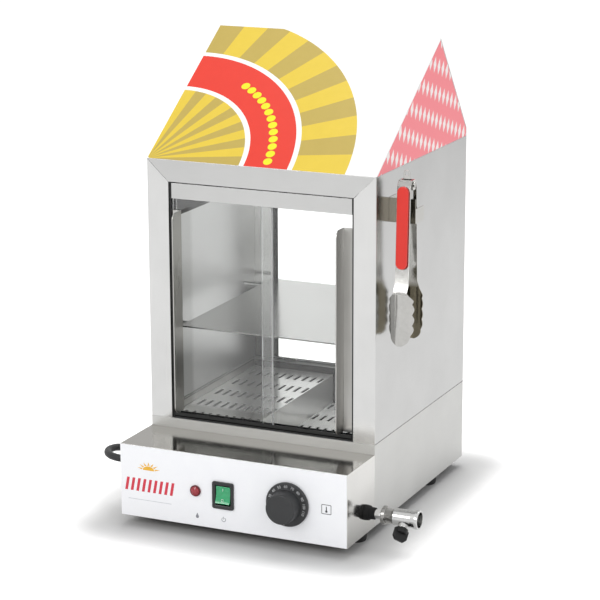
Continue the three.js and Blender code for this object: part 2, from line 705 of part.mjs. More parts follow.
// Rear frame: a sheet with a window, and four clips that hold the rear glass
const rearStile = 33.5;
const rearWindowX = halfWidth - rearStile;
const rearWindowSill = 3.5;
const rearWindowHead = 30;
const rearGlassOverlap = 7;
const rearGlassLift = 1.2;
const clipWidth = 16;
const clipReach = 2.2;
const clipInset = 24;

function rearFrame(group) {
  const sill = baseTop + rearWindowSill;
  const head = cabinetTop - rearWindowHead;
  const plate = block([-halfWidth, halfWidth], [rearInside, cabinetDepth], [baseTop, cabinetTop]);
  const windowY = [rearInside - overrun, cabinetDepth + overrun];
  const window = block([-rearWindowX, rearWindowX], windowY, [sill, head]);
  const glassBottom = baseTop + rearGlassLift + steel;
  const glassTop = head + rearGlassOverlap;
  const glassX = rearWindowX + rearGlassOverlap;
  const glassFront = rearInside - glass;
  let frame = plate.subtract(window);
  for (const side of [-1, 1]) {
    const middle = side * (glassX - clipInset);
    const span = [middle - clipWidth / 2, middle + clipWidth / 2];
    const lip = [glassFront - fitGap - steel, glassFront - fitGap];
    const shelfY = [glassFront - fitGap - steel, rearInside + steel / 2];
    frame = frame
      .add(block(span, shelfY, [glassBottom - fitGap - steel, glassBottom - fitGap]))
      .add(block(span, lip, [glassBottom - fitGap - steel, glassBottom + clipReach]))
      .add(block(span, shelfY, [glassTop + fitGap, glassTop + fitGap + steel]))
      .add(block(span, lip, [glassTop - clipReach, glassTop + fitGap + steel]));
  }
  piece(group, 'rear_frame', frame, brushedSteel);
  const pane = block([-glassX, glassX], [glassFront, rearInside], [glassBottom, glassTop]);
  piece(group, 'rear_glass', pane, clearGlass);
}

// Door tracks: two grooves each, a steel one hanging from the rail and a black sill
const lipSheet = 1.2;
const trackFront = 2;
const grooveWidth = glass + slideGap * 2;
const trackDepth = lipSheet * 3 + grooveWidth * 2;
const upperTrackDrop = 19;
const trackHang = 1.5;
const trackPlate = 1.2;
const lowerTrackRise = 4;
const sillLip = 6.6;
const sealSheet = 2.4;
const sealDepth = 14;
const frontPaneY = trackFront + lipSheet + slideGap;
const rearPaneY = frontPaneY + grooveWidth + lipSheet;
const trackX = openingX - sealSheet - fitGap;

function trackLips(z0, z1, frontZ1) {
  let lips = null;
  for (let lip = 0; lip < 3; lip += 1) {
    const y = trackFront + lip * (grooveWidth + lipSheet);
    const next = block([-trackX, trackX], [y, y + lipSheet], [z0, lip > 0 ? z1 : frontZ1]);
    lips = lips ? lips.add(next) : next;
  }
  return lips;
}

function doorTracks(group) {
  const span = [-trackX, trackX];
  const depth = [trackFront, trackFront + trackDepth];
  const upperTop = openingTop - trackHang;
  const hanger = [trackFront + grooveWidth + lipSheet, trackFront + trackDepth];
  const upper = trackLips(openingTop - upperTrackDrop, upperTop, upperTop)
    .add(block(span, depth, [upperTop - trackPlate, upperTop]))
    .add(block(span, hanger, [upperTop - trackPlate, openingTop]));
  piece(group, 'upper_door_track', upper, brushedSteel);
  const lower = trackLips(baseTop + trackPlate / 2, baseTop + lowerTrackRise, baseTop + sillLip)
    .add(block(span, depth, [baseTop, baseTop + trackPlate]));
  piece(group, 'lower_door_track', lower, blackPlastic);
}

// Side seals: black strips on the posts, beside the panes and the tracks' ends
function doorSeals(group) {
  const z = [baseTop, openingTop];
  const y = [trackFront, trackFront + sealDepth];
  piece(group, 'left_door_seal', block([-openingX, -openingX + sealSheet], y, z), blackRubber);
  piece(group, 'right_door_seal', block([openingX - sealSheet, openingX], y, z), blackRubber);
}

// Sliding doors: a glass pane each, with an angle strip as its handle
const leftPaneEdge = 12;
const rightPaneEdge = -3.4;
const paneHeadSpace = 6;
const handleSheet = 1.2;
const handleFoot = 10;
const rearHandleFoot = 14;
const rearHandleDrop = 3.6;
const handleReach = 21;
const handleCorner = 8;
const handleLow = 10.5;
const handleLength = 230;
const handleEdgeSpace = 0.6;
const paneOuterX = openingX - sealSheet - fitGap;

function slidingDoor(group, name, side, x, y, footWidth, drop) {
  const z = [baseTop + trackPlate + fitGap, openingTop - paneHeadSpace];
  piece(group, `${name}_glass`, block(x, [y, y + glass], z), clearGlass);
  const low = baseTop + handleLow - drop;
  const high = low + handleLength;
  const outer = side * (paneOuterX - handleEdgeSpace);
  const inner = outer - side * footWidth;
  const foot = block([Math.min(outer, inner), Math.max(outer, inner)], [y - handleSheet, y], [low, high]);
  const profile = new THREE.Shape();
  const tip = y - handleReach;
  profile.moveTo(y, low);
  profile.lineTo(y, high);
  profile.lineTo(tip + handleCorner, high);
  profile.absarc(tip + handleCorner, high - handleCorner, handleCorner, Math.PI / 2, Math.PI);
  profile.lineTo(tip, low + handleCorner);
  profile.absarc(tip + handleCorner, low + handleCorner, handleCorner, Math.PI, Math.PI * 3 / 2);
  const legX = [Math.min(inner, inner + side * handleSheet), Math.max(inner, inner + side * handleSheet)];
  piece(group, `${name}_handle`, foot.add(prismX(profile, ...legX)), brushedSteel);
}

function slidingDoors(group) {
  slidingDoor(group, 'left_door', -1, [-paneOuterX, leftPaneEdge], frontPaneY, handleFoot, 0);
  slidingDoor(group, 'right_door', 1, [rightPaneEdge, paneOuterX], rearPaneY, rearHandleFoot, rearHandleDrop);
}

// Shelf: a plain plate with a narrow front fold, laid on two cross rods
const shelfHeight = 103.5;
const shelfEdgeSpace = 27.5;
const shelfZ = baseTop + shelfHeight;
const shelfX = halfWidth - shelfEdgeSpace;
const shelfFront = 22;
const shelfRear = rearInside - glass - steel * 2;
const shelfFold = 1.6;
const rodRadius = 2.5;
const rodInset = 24;

function shelf(group) {
  const plate = block([-shelfX, shelfX], [shelfFront, shelfRear], [shelfZ - steel, shelfZ]);
  const fold = block([-shelfX, shelfX], [shelfFront, shelfFront + steel], [shelfZ - shelfFold, shelfZ]);
  piece(group, 'shelf', plate.add(fold), brushedSteel);
  const rod = rodZ(rodRadius, -insideX, insideX, roundSteps / 2);
  const z = shelfZ - steel - rodRadius;
  piece(group, 'shelf_rod_front', laidAlongX(rod, 0, shelfFront + rodInset, z), polishedSteel);
  piece(group, 'shelf_rod_rear', laidAlongX(rod, 0, shelfRear - rodInset, z), polishedSteel);
}

// Slotted trays: the lower one stands in the tank, the raised one stands on it
const trayGap = 0.5;
const trayX = waterX - trayGap;
const trayFront = waterFront + trayGap;
const trayRear = waterRear - trayGap;
const lowerTrayHeight = 49.5;
const raisedTrayHeight = 85.5;
const lowerTrayZ = baseBottom + lowerTrayHeight;
const raisedTrayZ = baseBottom + raisedTrayHeight;
const raisedTrayEdge = -27;
const slotLength = 21;
const slotWidth = 4;
const slotPitch = 10.2;
const slotRowPitch = 46;
const slotRows = 5;
const slotEdge = 3.6;
const lowerSlotShift = 14;

// Rows of slots, counted from the step between the two trays
function slots(from, to, shift, z0, z1) {
  const middleY = (trayFront + trayRear) / 2 + shift;
  const count = Math.floor((Math.abs(to - from) - slotEdge * 2) / slotPitch) + 1;
  const cuts = [];
  for (let row = 0; row < slotRows; row += 1) {
    const y = middleY + (row - (slotRows - 1) / 2) * slotRowPitch;
    for (let slot = 0; slot < count; slot += 1) {
      const x = from + Math.sign(to - from) * (slotEdge + slot * slotPitch);
      const across = [x - slotWidth / 2, x + slotWidth / 2];
      cuts.push(block(across, [y - slotLength / 2, y + slotLength / 2], [z0, z1]));
    }
  }
  return wasm.Manifold.union(cuts);
}

function tray(group, name, x0, x1, slotsTo, slotShift, bottom, top) {
  const y = [trayFront, trayRear];
  const plate = block([x0, x1], y, [top - steel, top]);
  const left = block([x0, x0 + steel], y, [bottom, top]);
  const right = block([x1 - steel, x1], y, [bottom, top]);
  const holes = slots(raisedTrayEdge, slotsTo, slotShift, top - steel - overrun, top + overrun);
  piece(group, name, plate.subtract(holes).add(left).add(right), brushedSteel);
}

function trays(group) {
  tray(group, 'lower_tray', -trayX, trayX, trayX, lowerSlotShift, tankFloorTop, lowerTrayZ);
  tray(group, 'raised_tray', -trayX, raisedTrayEdge, -trayX, 0, lowerTrayZ, raisedTrayZ);
}

// Sign: a pitched box with two sloping panels and two triangular sides
const signSheet = 2;
const signBackLip = 10;

// The corner where two lines meet, each given by a point and a direction
function meet([ay, az], [adY, adZ], [by, bz], [bdY, bdZ]) {
  const share = ((by - ay) * bdZ - (bz - az) * bdY) / (adY * bdZ - adZ * bdY);
  return [ay + adY * share, az + adZ * share];
}

function sign(group) {
  const ridge = [signRidgeSetback, cabinetTop + signRise];
  const back = [cabinetDepth, cabinetTop + signBackLip];
  const frontRun = [ridge[0], signRise];
  const backRun = [back[0] - ridge[0], back[1] - ridge[1]];
  const inward = ([dy, dz], depth) => {
    const length = Math.hypot(dy, dz);
    return [dz / length * depth, -dy / length * depth];
  };
  const offset = (point, run, depth) => {
    const [iy, iz] = inward(run, depth);
    return [point[0] + iy, point[1] + iz];
  };
  const corners = (depth) => {
    const frontLine = [offset([0, cabinetTop], frontRun, depth), frontRun];
    const backLine = [offset(ridge, [backRun[0], backRun[1]], depth), backRun];
    const top = meet(...frontLine, ...backLine);
    const low = meet(...frontLine, [0, cabinetTop], [1, 0]);
    const rear = meet(...backLine, [cabinetDepth - depth, 0], [0, 1]);
    return { low, top, rear, foot: [cabinetDepth - depth, cabinetTop] };
  };
  const outer = corners(0);
  const inner = corners(signSheet);
  const side = corners(signSheet + fitGap);
  const split = fitGap / 2;
  const frontPanel = outlineShape([outer.low, inner.low, [inner.top[0] - split, inner.top[1]],
    [outer.top[0] - split, outer.top[1]]]);
  const backPanel = outlineShape([[inner.top[0] + split, inner.top[1]], inner.rear, inner.foot, outer.foot,
    outer.rear, [outer.top[0] + split, outer.top[1]]]);
  const sidePanel = outlineShape([side.low, side.foot, side.rear, side.top]);
  piece(group, 'sign_front', prismX(frontPanel, -halfWidth, halfWidth), signWhite);
  piece(group, 'sign_back', prismX(backPanel, -halfWidth, halfWidth), signWhite);
  piece(group, 'sign_left', prismX(sidePanel, -halfWidth, -halfWidth + signSheet), signRose);
  piece(group, 'sign_right', prismX(sidePanel, halfWidth - signSheet, halfWidth), signRose);
}

// Tongs bracket: a folded hook on the right wall, open at the top and the back
const hookY = 37;
const hookSheet = 1.2;
const hookReach = 31;
const hookHeight = 27;
const hookRise = 269.2;
const hookTop = baseTop + hookRise;
const hookWallFlange = 20;
const hookLip = 23;
const hookLipShare = 0.6;

function tongsBracket(group) {
  const z = [hookTop - hookHeight, hookTop];
  const tip = halfWidth + hookReach;
  const web = block([halfWidth, tip], [hookY - hookSheet, hookY], z);
  const flange = block([halfWidth, halfWidth + hookSheet], [hookY - hookSheet, hookY + hookWallFlange], z);
  const lip = block([tip - hookSheet, tip], [hookY - hookSheet, hookY + hookLip],
    [z[0], z[0] + hookHeight * hookLipShare]);
  piece(group, 'tongs_bracket', web.add(flange).add(lip), brushedSteel);
}

// Tongs: two sprung arms on a pin, astride the bracket's web, with scalloped scoops
const tongsWallSpace = 20.5;
const tongsX = halfWidth + tongsWallSpace;
const tongsArmWidth = 15.6;
const tongsArmSheet = 1.2;
const tongsEar = 5;
const tongsFrontEarDrop = 15.7;
const tongsRearEarDrop = 6;
const tongsPinZ = hookTop + tongsFrontEarDrop + fitGap;
const tongsShoulderTop = 3.5;
const tongsShoulderDrop = 0.5;
const tongsGripY = 9;
const tongsNeckY = 13.5;
const tongsNeckDrop = 108;
const tongsFlareY = 19.5;
const tongsFlareDrop = 118;
const tongsScoopTop = 117;
const tongsScoopDrop = 175.5;
const scoopWidth = 29;
const scoopRadius = 21;
const scoopSheet = 1.2;
const scallops = 5;
const scallopDepth = 1.8;
const scallopSamples = 6;
const shoulderShare = 0.14;
const tipShare = 0.4;
const tipCutShare = 0.96;
const pinRadius = 2;
const pinHeadRadius = 3.2;
const gripTop = 0.3;
const gripLength = 90;
const gripWidth = 13;
const gripDepth = 3.6;
const gripCorner = 6.4;
const tabWidth = 8;
const tabSheet = 1.4;
const tabHeight = 13;
const tabHoleRadius = 2.1;
const tabCornerShare = 0.96;

// An arm's side view, from the pin down to the scoop, as a strip of even thickness
function armStrip(side) {
  const line = [[tongsEar, tongsEar], [tongsEar, tongsShoulderTop], [tongsGripY, -tongsShoulderDrop],
    [tongsNeckY, -tongsNeckDrop], [tongsFlareY, -tongsFlareDrop]];
  const outer = line.map(([y, z]) => [side * y, z]);
  const inner = line.map(([y, z]) => [side * (y - tongsArmSheet), z]).reverse();
  const points = side > 0 ? outer.concat(inner).reverse() : outer.concat(inner);
  return prismX(outlineShape(points), -tongsArmWidth / 2, tongsArmWidth / 2);
}

// The scoop's front view: it widens from the arm over its shoulders, runs down with
// scalloped sides and closes in a round tip
function scoopOutline() {
  const points = [];
  const length = tongsScoopDrop - tongsScoopTop;
  const samples = scallops * scallopSamples;
  for (let sample = 0; sample <= samples; sample += 1) {
    const share = sample / samples;
    const shoulder = Math.min(share / shoulderShare, 1);
    const tip = Math.max((share - 1 + tipShare) / tipShare, 0);
    const wave = Math.abs(Math.sin(Math.PI * scallops * share));
    const widest = scoopWidth / 2 - scallopDepth + scallopDepth * wave;
    const full = tongsArmWidth / 2 + (widest - tongsArmWidth / 2) * shoulder;
    const half = full * Math.sqrt(1 - tip * tip * tipCutShare);
    points.push([half, -tongsScoopTop - share * length]);
  }
  const mirrored = points.map(([x, z]) => [-x, z]).reverse();
  return outlineShape(mirrored.concat(points).reverse());
}

// The leaf is cut from a curved sheet whose hollow side faces the other arm
function scoop(side) {
  const leaf = prismY(scoopOutline(), -scoopRadius * 2, scoopRadius * 2);
  const outerSkin = rodZ(scoopRadius, -tongsScoopDrop - overrun, -tongsScoopTop + overrun, roundSteps * 2);
  const innerSkin = rodZ(scoopRadius - scoopSheet, -tongsScoopDrop - overrun * 2, -tongsScoopTop + overrun * 2,
    roundSteps * 2);
  const farHalf = block([-scoopRadius * 2, scoopRadius * 2], [0, scoopRadius * 2],
    [-tongsScoopDrop - overrun * 3, 0]);
  const skin = outerSkin.subtract(innerSkin).intersect(farHalf).intersect(leaf)
    .translate([0, tongsFlareY - scoopRadius, 0]);
  return side > 0 ? skin : skin.rotate([0, 0, 180]);
}

function grip(side) {
  const inner = side * tongsGripY;
  const lean = (tongsNeckY - tongsGripY) / (tongsNeckDrop - tongsShoulderDrop);
  const top = -tongsShoulderDrop - gripTop;
  const bar = prismY(roundedRectangle(-gripWidth / 2, gripWidth / 2, top - gripLength, top, gripCorner),
    Math.min(0, side * gripDepth), Math.max(0, side * gripDepth));
  const drop = tongsShoulderDrop * lean;
  const start = inner - side * drop + side * fitGap;
  return bar.transform([1, 0, 0, 0, 0, 1, 0, 0, 0, -side * lean, 1, 0, 0, start, 0, 1]);
}

// A sheet tab with a hole stands on the pin between the arms' ears, to pull the tongs by
function pullTab() {
  const low = pinRadius + fitGap;
  const half = tabWidth / 2;
  const tab = prismY(roundedRectangle(-half, half, low, low + tabHeight, half * tabCornerShare),
    -tabSheet / 2, tabSheet / 2);
  const hole = rodZ(tabHoleRadius, -tabSheet, tabSheet, roundSteps / 2).rotate([90, 0, 0]);
  return tab.subtract(hole.translate([0, 0, low + tabHeight - half]));
}

function tongs(group) {
  const hanging = new THREE.Group();
  hanging.position.set(tongsX, hookY - hookSheet / 2, tongsPinZ);
  const hole = (radius) => rodZ(radius, -tongsGripY * 2, tongsGripY * 2, roundSteps / 2).rotate([0, 90, 0]);
  const frontEars = tongsArmWidth / 2 - tongsArmSheet - fitGap;
  const ear = (x0, x1, side, drop) => block([x0, x1], [Math.min(side * tongsEar, -side * tongsEar / 2),
    Math.max(side * tongsEar, -side * tongsEar / 2)], [-drop, tongsEar]);
  const rearArm = armStrip(1)
    .add(ear(-tongsArmWidth / 2, -tongsArmWidth / 2 + tongsArmSheet, 1, tongsRearEarDrop))
    .add(ear(tongsArmWidth / 2 - tongsArmSheet, tongsArmWidth / 2, 1, tongsRearEarDrop))
    .add(scoop(1)).subtract(hole(pinRadius + fitGap));
  const frontArm = armStrip(-1)
    .add(ear(-frontEars, -frontEars + tongsArmSheet, -1, tongsFrontEarDrop))
    .add(ear(frontEars - tongsArmSheet, frontEars, -1, tongsFrontEarDrop))
    .add(scoop(-1)).subtract(hole(pinRadius + fitGap));
  piece(hanging, 'tongs_front_arm', frontArm, polishedSteel);
  piece(hanging, 'tongs_rear_arm', rearArm, polishedSteel);
  piece(hanging, 'tongs_front_grip', grip(-1), gripRed);
  piece(hanging, 'tongs_rear_grip', grip(1), gripRed);
  const pinHalf = tongsArmWidth / 2 + tongsArmSheet;
  const head = pinHalf + tongsArmSheet / 2;
  const pin = turned([[0, -head], [pinHeadRadius, -head], [pinHeadRadius, -tongsArmWidth / 2 - fitGap],
    [pinRadius, -tongsArmWidth / 2 - fitGap], [pinRadius, tongsArmWidth / 2 + fitGap],
    [pinHeadRadius, tongsArmWidth / 2 + fitGap], [pinHeadRadius, head], [0, head]], roundSteps / 2);
  piece(hanging, 'tongs_pin', pin.rotate([0, 90, 0]), polishedSteel);
  piece(hanging, 'tongs_pull_tab', pullTab(), polishedSteel);
  group.add(hanging);
}

waterTank(steamer);
baseHousing(steamer);
feet(steamer);
heatingElement(steamer);
controlBox(steamer);
signalLamp(steamer);
powerSwitch(steamer);
thermostat(steamer);
lowWaterSensor(steamer);
drainPipe(steamer);
drainTap(steamer);
drainHandle(steamer);
cableGland(steamer);
mainsCord(steamer);
cordCoil(steamer);
mainsPlug(steamer);
cabinetShell(steamer);
frontFrame(steamer);
rearFrame(steamer);
doorTracks(steamer);
doorSeals(steamer);
slidingDoors(steamer);
shelf(steamer);
trays(steamer);
sign(steamer);
tongsBracket(steamer);
tongs(steamer);

// The outline runs from the left wall to the tap's mouth and from the knob to the back
const outlineMiddleX = (tapEnd - halfWidth) / 2;
const outlineMiddleY = (panelFront - knobReach + cabinetDepth) / 2;
steamer.position.set(-outlineMiddleX, -outlineMiddleY, 0);
const placed = new THREE.Group();
placed.add(steamer);

export default placed;
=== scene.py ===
# Looks of a countertop hot dog steamer: steel cabinet with glass doors over a water tank.
# Places are written in millimetres from the middle of the cabinet's front face, on the
# worktop, as on the part's drawing: X to the right, Y to the back, Z up.
import math

import bmesh
import bpy
from mathutils import Matrix, Vector


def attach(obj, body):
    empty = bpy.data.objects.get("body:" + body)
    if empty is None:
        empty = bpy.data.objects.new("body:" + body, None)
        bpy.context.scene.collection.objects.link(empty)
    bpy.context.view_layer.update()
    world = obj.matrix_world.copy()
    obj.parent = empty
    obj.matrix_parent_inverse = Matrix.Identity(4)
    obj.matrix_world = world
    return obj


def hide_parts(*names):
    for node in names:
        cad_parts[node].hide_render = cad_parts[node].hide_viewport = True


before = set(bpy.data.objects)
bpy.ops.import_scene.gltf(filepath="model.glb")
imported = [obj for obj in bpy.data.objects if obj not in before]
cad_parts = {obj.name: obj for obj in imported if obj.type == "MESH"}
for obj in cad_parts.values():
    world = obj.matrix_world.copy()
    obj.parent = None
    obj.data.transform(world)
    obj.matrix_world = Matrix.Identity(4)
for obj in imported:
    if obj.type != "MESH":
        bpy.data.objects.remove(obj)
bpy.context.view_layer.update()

scene = bpy.context.scene
scene.view_settings.view_transform = "Standard"

# Camera: it stands to the right of the steamer and a little above it, with a long lens,
# and looks at the middle of the cabinet, as the photograph does.
EYE_AT = Vector((1.0130, -2.2677, 0.8759))
AIM_AT = Vector((-0.0284, 0.0108, 0.2331))
ROLL = math.radians(-0.179)
LENS_MM = 136.3
SENSOR_MM = 36.0
eye = bpy.data.objects.new("camera", bpy.data.cameras.new("camera"))
scene.collection.objects.link(eye)
scene.camera = eye
eye.data.lens = LENS_MM
eye.data.sensor_width = SENSOR_MM
eye.data.clip_start = 0.05
eye.data.clip_end = 60.0
look = (AIM_AT - EYE_AT).to_track_quat("-Z", "Y").to_matrix().to_4x4()
eye.matrix_world = Matrix.Translation(EYE_AT) @ look @ Matrix.Rotation(ROLL, 4, "Z")

# Mains cord: round black rubber flex, 8.5 mm thick. It leaves the gland, drops to the
# worktop, runs back past the cabinet and lies in a flat coil behind it.
MM = 0.001
DRAWING_ORIGIN = Vector((31.8, 87.4, 0.0))
TO_FRAME = Matrix.Scale(MM, 4) @ Matrix.Translation(-DRAWING_ORIGIN)


def placed(x, y, z):
    """A place on the drawing, in the frame's metres."""
    return TO_FRAME @ Vector((x, y, z))


def colour(hex_value):
    """An sRGB colour such as 0xF4F5F7 as linear RGBA."""
    channels = [(hex_value >> shift & 255) / 255 for shift in (16, 8, 0)]
    linear = [c / 12.92 if c <= 0.04045 else ((c + 0.055) / 1.055) ** 2.4 for c in channels]
    return (*linear, 1.0)


def fill(node, inputs):
    """Sets inputs of a node; each is a value, or a socket that it is linked to."""
    for key, value in inputs.items():
        if isinstance(value, bpy.types.NodeSocket):
            node.id_data.links.new(value, node.inputs[key])
        else:
            node.inputs[key].default_value = value


def add_node(tree, kind, inputs=None, **settings):
    """One node with its settings and inputs."""
    made = tree.nodes.new(kind)
    for key, value in settings.items():
        setattr(made, key, value)
    fill(made, inputs or {})
    return made


def maths(tree, operation, *values):
    """One sum on values or sockets."""
    return add_node(tree, "ShaderNodeMath", dict(enumerate(values)), operation=operation).outputs[0]


def remapped(tree, value, low, high, to_low=0.0, to_high=1.0, **settings):
    """A value from the range low to high mapped onto another."""
    return add_node(tree, "ShaderNodeMapRange", {"Value": value, "From Min": low, "From Max": high,
                                                 "To Min": to_low, "To Max": to_high}, **settings).outputs[0]


def blended(tree, share, under, over, how="MIX"):
    """Two colours mixed, or multiplied, as far as the share says."""
    mixed = add_node(tree, "ShaderNodeMix", {0: share, 6: under, 7: over}, data_type="RGBA", blend_type=how)
    return mixed.outputs[2]


def start_material(name):
    """A material with its tree and its Principled shader, already linked to the output."""
    material = bpy.data.materials.new(name)
    material.use_nodes = True
    tree = material.node_tree
    tree.nodes.clear()
    shader = add_node(tree, "ShaderNodeBsdfPrincipled")
    add_node(tree, "ShaderNodeOutputMaterial", {"Surface": shader.outputs[0]})
    return material, tree, shader


def grain_input(tree, size_mm, stretch=(1, 1, 1), detail=3.0):
    """Noise whose features are size_mm wide, on the piece's own coordinates."""
    place = add_node(tree, "ShaderNodeTexCoord")
    mapped = add_node(tree, "ShaderNodeMapping", {"Vector": place.outputs["Object"], "Scale": stretch})
    return add_node(tree, "ShaderNodeTexNoise", {"Vector": mapped.outputs[0], "Scale": 1 / (size_mm * MM),
                                                 "Detail": detail, "Roughness": 0.6}).outputs[0]


def shade_range(tree, value, low, high):
    """Maps a noise value from its usual 0.3 to 0.7 onto low to high."""
    return remapped(tree, value, 0.3, 0.7, low, high)


def two_tone(tree, value, dark, pale):
    """A colour between two near ones."""
    return blended(tree, value, colour(dark), colour(pale))


def raise_from(tree, shader, height, depth_mm):
    """Bump from a height of 0 to 1, depth_mm deep."""
    bump = add_node(tree, "ShaderNodeBump", {"Height": height, "Distance": depth_mm * MM, "Strength": 1.0})
    fill(shader, {"Normal": bump.outputs[0]})


def moulded(name, dark, pale, roughness, grain_mm=0.6, depth_mm=0.02, specular=0.5):
    """Moulded plastic or rubber: a matt skin with fine eroded grain and faint cloudiness."""
    material, tree, shader = start_material(name)
    grain = grain_input(tree, grain_mm)
    fill(shader, {"Base Color": two_tone(tree, grain_input(tree, 14.0), dark, pale),
                  "Roughness": shade_range(tree, grain, roughness - 0.06, roughness + 0.06),
                  "Specular IOR Level": specular})
    raise_from(tree, shader, grain, depth_mm)
    return material


# Extruded rubber: matt black, with a soft sheen along its upper side
flex_rubber = moulded("black_flex_rubber", 0x17181A, 0x222325, 0.55, 0.9, 0.03)

CORD_ROUTE = [
    (-161.8, -19, 56), (-166, -19, 56), (-176, -17.5, 55.9), (-186, -12.5, 55.6), (-194, -4, 55),
    (-199, 6.5, 54.2), (-200.45, 18, 53), (-200.4, 32, 50), (-200, 50, 43.5), (-198.5, 68, 34.5),
    (-196, 86, 24.5), (-193, 104, 15.3), (-190, 122, 8.4), (-187, 140, 4.9), (-184, 158, 4.25),
    (-179.5, 190, 4.25), (-175, 215, 4.25), (-168.5, 240, 4.25), (-158, 264, 4.25), (-144, 287, 4.25),
    (-130, 304, 4.25), (-119, 318, 4.25), (-112, 329, 4.25), (-109, 336, 4.25), (-108.5, 344.7, 4.25),
]
CORD_DIAMETER = 8.5
COIL_MIDDLE = (-50.0, 355.0)
COIL_TURNS = 4.25
COIL_INNER = 38.5
COIL_SIDE_STEP = 9.4
COIL_LAYER = 9.2
COIL_CLIMB = 0.5
COIL_STEPS = 36
COIL_TAIL = 20.0


def coil_place(turn):
    """A point of the coil: it spirals in below, climbs where it turns back and spirals out above."""
    radius = COIL_INNER + COIL_SIDE_STEP * abs(turn - COIL_TURNS / 2)
    climbed = min(max((turn - (COIL_TURNS - COIL_CLIMB) / 2) / COIL_CLIMB, 0), 1)
    angle = math.pi - turn * math.tau
    return Vector((COIL_MIDDLE[0] + radius * math.cos(angle), COIL_MIDDLE[1] + radius * math.sin(angle),
                   CORD_DIAMETER / 2 + COIL_LAYER * climbed))


def smooth_route(points, between=4):
    """The route's points with more between them, on a Catmull-Rom curve."""
    ends = [points[0] * 2 - points[1], *points, points[-1] * 2 - points[-2]]
    line = []
    for a, b, c, d in zip(ends, ends[1:], ends[2:], ends[3:]):
        for step in range(between):
            t = step / between
            line.append((b * 2 + (c - a) * t + (a * 2 - b * 5 + c * 4 - d) * t * t
                         + (b * 3 - a - c * 3 + d) * t ** 3) / 2)
    return [*line, points[-1]]


coil_steps = int(COIL_TURNS * COIL_STEPS)
coil_end = coil_place(COIL_TURNS)
cord_line = smooth_route([Vector(p) for p in CORD_ROUTE])
cord_line += [coil_place(step / COIL_STEPS) for step in range(1, coil_steps + 1)]
cord_line += [coil_end + Vector((COIL_TAIL / 2, 0, 0)), coil_end + Vector((COIL_TAIL, 0, 0))]
cord_line = [placed(*point) for point in cord_line]
cord_curve = bpy.data.curves.new("mains_cord_flex", "CURVE")
cord_curve.dimensions = "3D"
cord_curve.bevel_depth = CORD_DIAMETER / 2 * MM
cord_curve.bevel_resolution = 4
cord_curve.use_fill_caps = True
cord_spline = cord_curve.splines.new("POLY")
cord_spline.points.add(len(cord_line) - 1)
for point, place in zip(cord_spline.points, cord_line):
    point.co = (*place, 1)
cord_curve.materials.append(flex_rubber)
cord_flex = bpy.data.objects.new("mains_cord_flex", cord_curve)
scene.collection.objects.link(cord_flex)
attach(cord_flex, "steamer_body")
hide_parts("mains_cord", "cord_coil")


# Cable gland: moulded nylon. A six-sided nut sits on the wall, and a ribbed sleeve
# tapers down to the cord, so that the cord can't be bent sharply where it leaves.
def fillet(points, radius, steps=4):
    """A line of 2D points with its inner corners rounded; radius is one value or one for each point."""
    radii = radius if isinstance(radius, (list, tuple)) else [radius] * len(points)
    line = [Vector(points[0])]
    for before, corner, after, size in zip(points, points[1:], points[2:], radii[1:]):
        before, corner, after = Vector(before), Vector(corner), Vector(after)
        back, ahead = before - corner, after - corner
        reach = min(back.length, ahead.length) * 0.48
        turn = back.angle(ahead, math.pi)
        if size <= 0 or turn > math.pi - 0.02:
            line.append(corner)
            continue
        cut = min(size / math.tan(turn / 2), reach)
        start, end = corner + back.normalized() * cut, corner + ahead.normalized() * cut
        for step in range(steps + 1):
            t = step / steps
            line.append(start * (1 - t) ** 2 + corner * 2 * t * (1 - t) + end * t * t)
    line.append(Vector(points[-1]))
    return line


def on_circle(radius, share):
    """The point (x, y) on a circle at a share of a full turn."""
    return (radius * math.cos(math.tau * share), radius * math.sin(math.tau * share))


def turned(profile, sides=48):
    """A closed skin from a profile of (radius, height) turned about Z; ends on the axis close as a pole."""
    skin = bmesh.new()
    rings = []
    for radius, height in profile:
        count = 1 if radius < 1e-6 else sides
        rings.append([skin.verts.new((*on_circle(radius, s / sides), height)) for s in range(count)])
    for low, high in zip(rings, rings[1:]):
        for side in range(sides):
            after = (side + 1) % sides
            corners = [low[side % len(low)], low[after % len(low)],
                       high[after % len(high)], high[side % len(high)]]
            unique = list(dict.fromkeys(corners))
            if len(unique) > 2:
                skin.faces.new(unique)
    return skin


def prism(outline, low, high):
    """A flat outline of (x, y) points drawn up from low to high along Z."""
    skin = bmesh.new()
    below = [skin.verts.new((x, y, low)) for x, y in outline]
    above = [skin.verts.new((x, y, high)) for x, y in outline]
    skin.faces.new(below)
    skin.faces.new(above)
    for index, first in enumerate(below):
        after = (index + 1) % len(below)
        skin.faces.new((first, below[after], above[after], above[index]))
    return skin


def merged(*skins):
    """Several closed skins as one mesh."""
    whole = bmesh.new()
    for skin in skins:
        part = bpy.data.meshes.new("part")
        skin.to_mesh(part)
        skin.free()
        whole.from_mesh(part)
        bpy.data.meshes.remove(part)
    return whole


def moved(skin, matrix):
    """A skin moved by a matrix, on the drawing."""
    bmesh.ops.transform(skin, matrix=matrix, verts=skin.verts)
    return skin


FACE_FRONT = Matrix.Rotation(math.pi / 2, 4, "X")
FACE_RIGHT = Matrix.Rotation(math.pi / 2, 4, "Y")
FACE_LEFT = Matrix.Rotation(-math.pi / 2, 4, "Y")


def at(x, y, z):
    """A move on the drawing."""
    return Matrix.Translation((x, y, z))


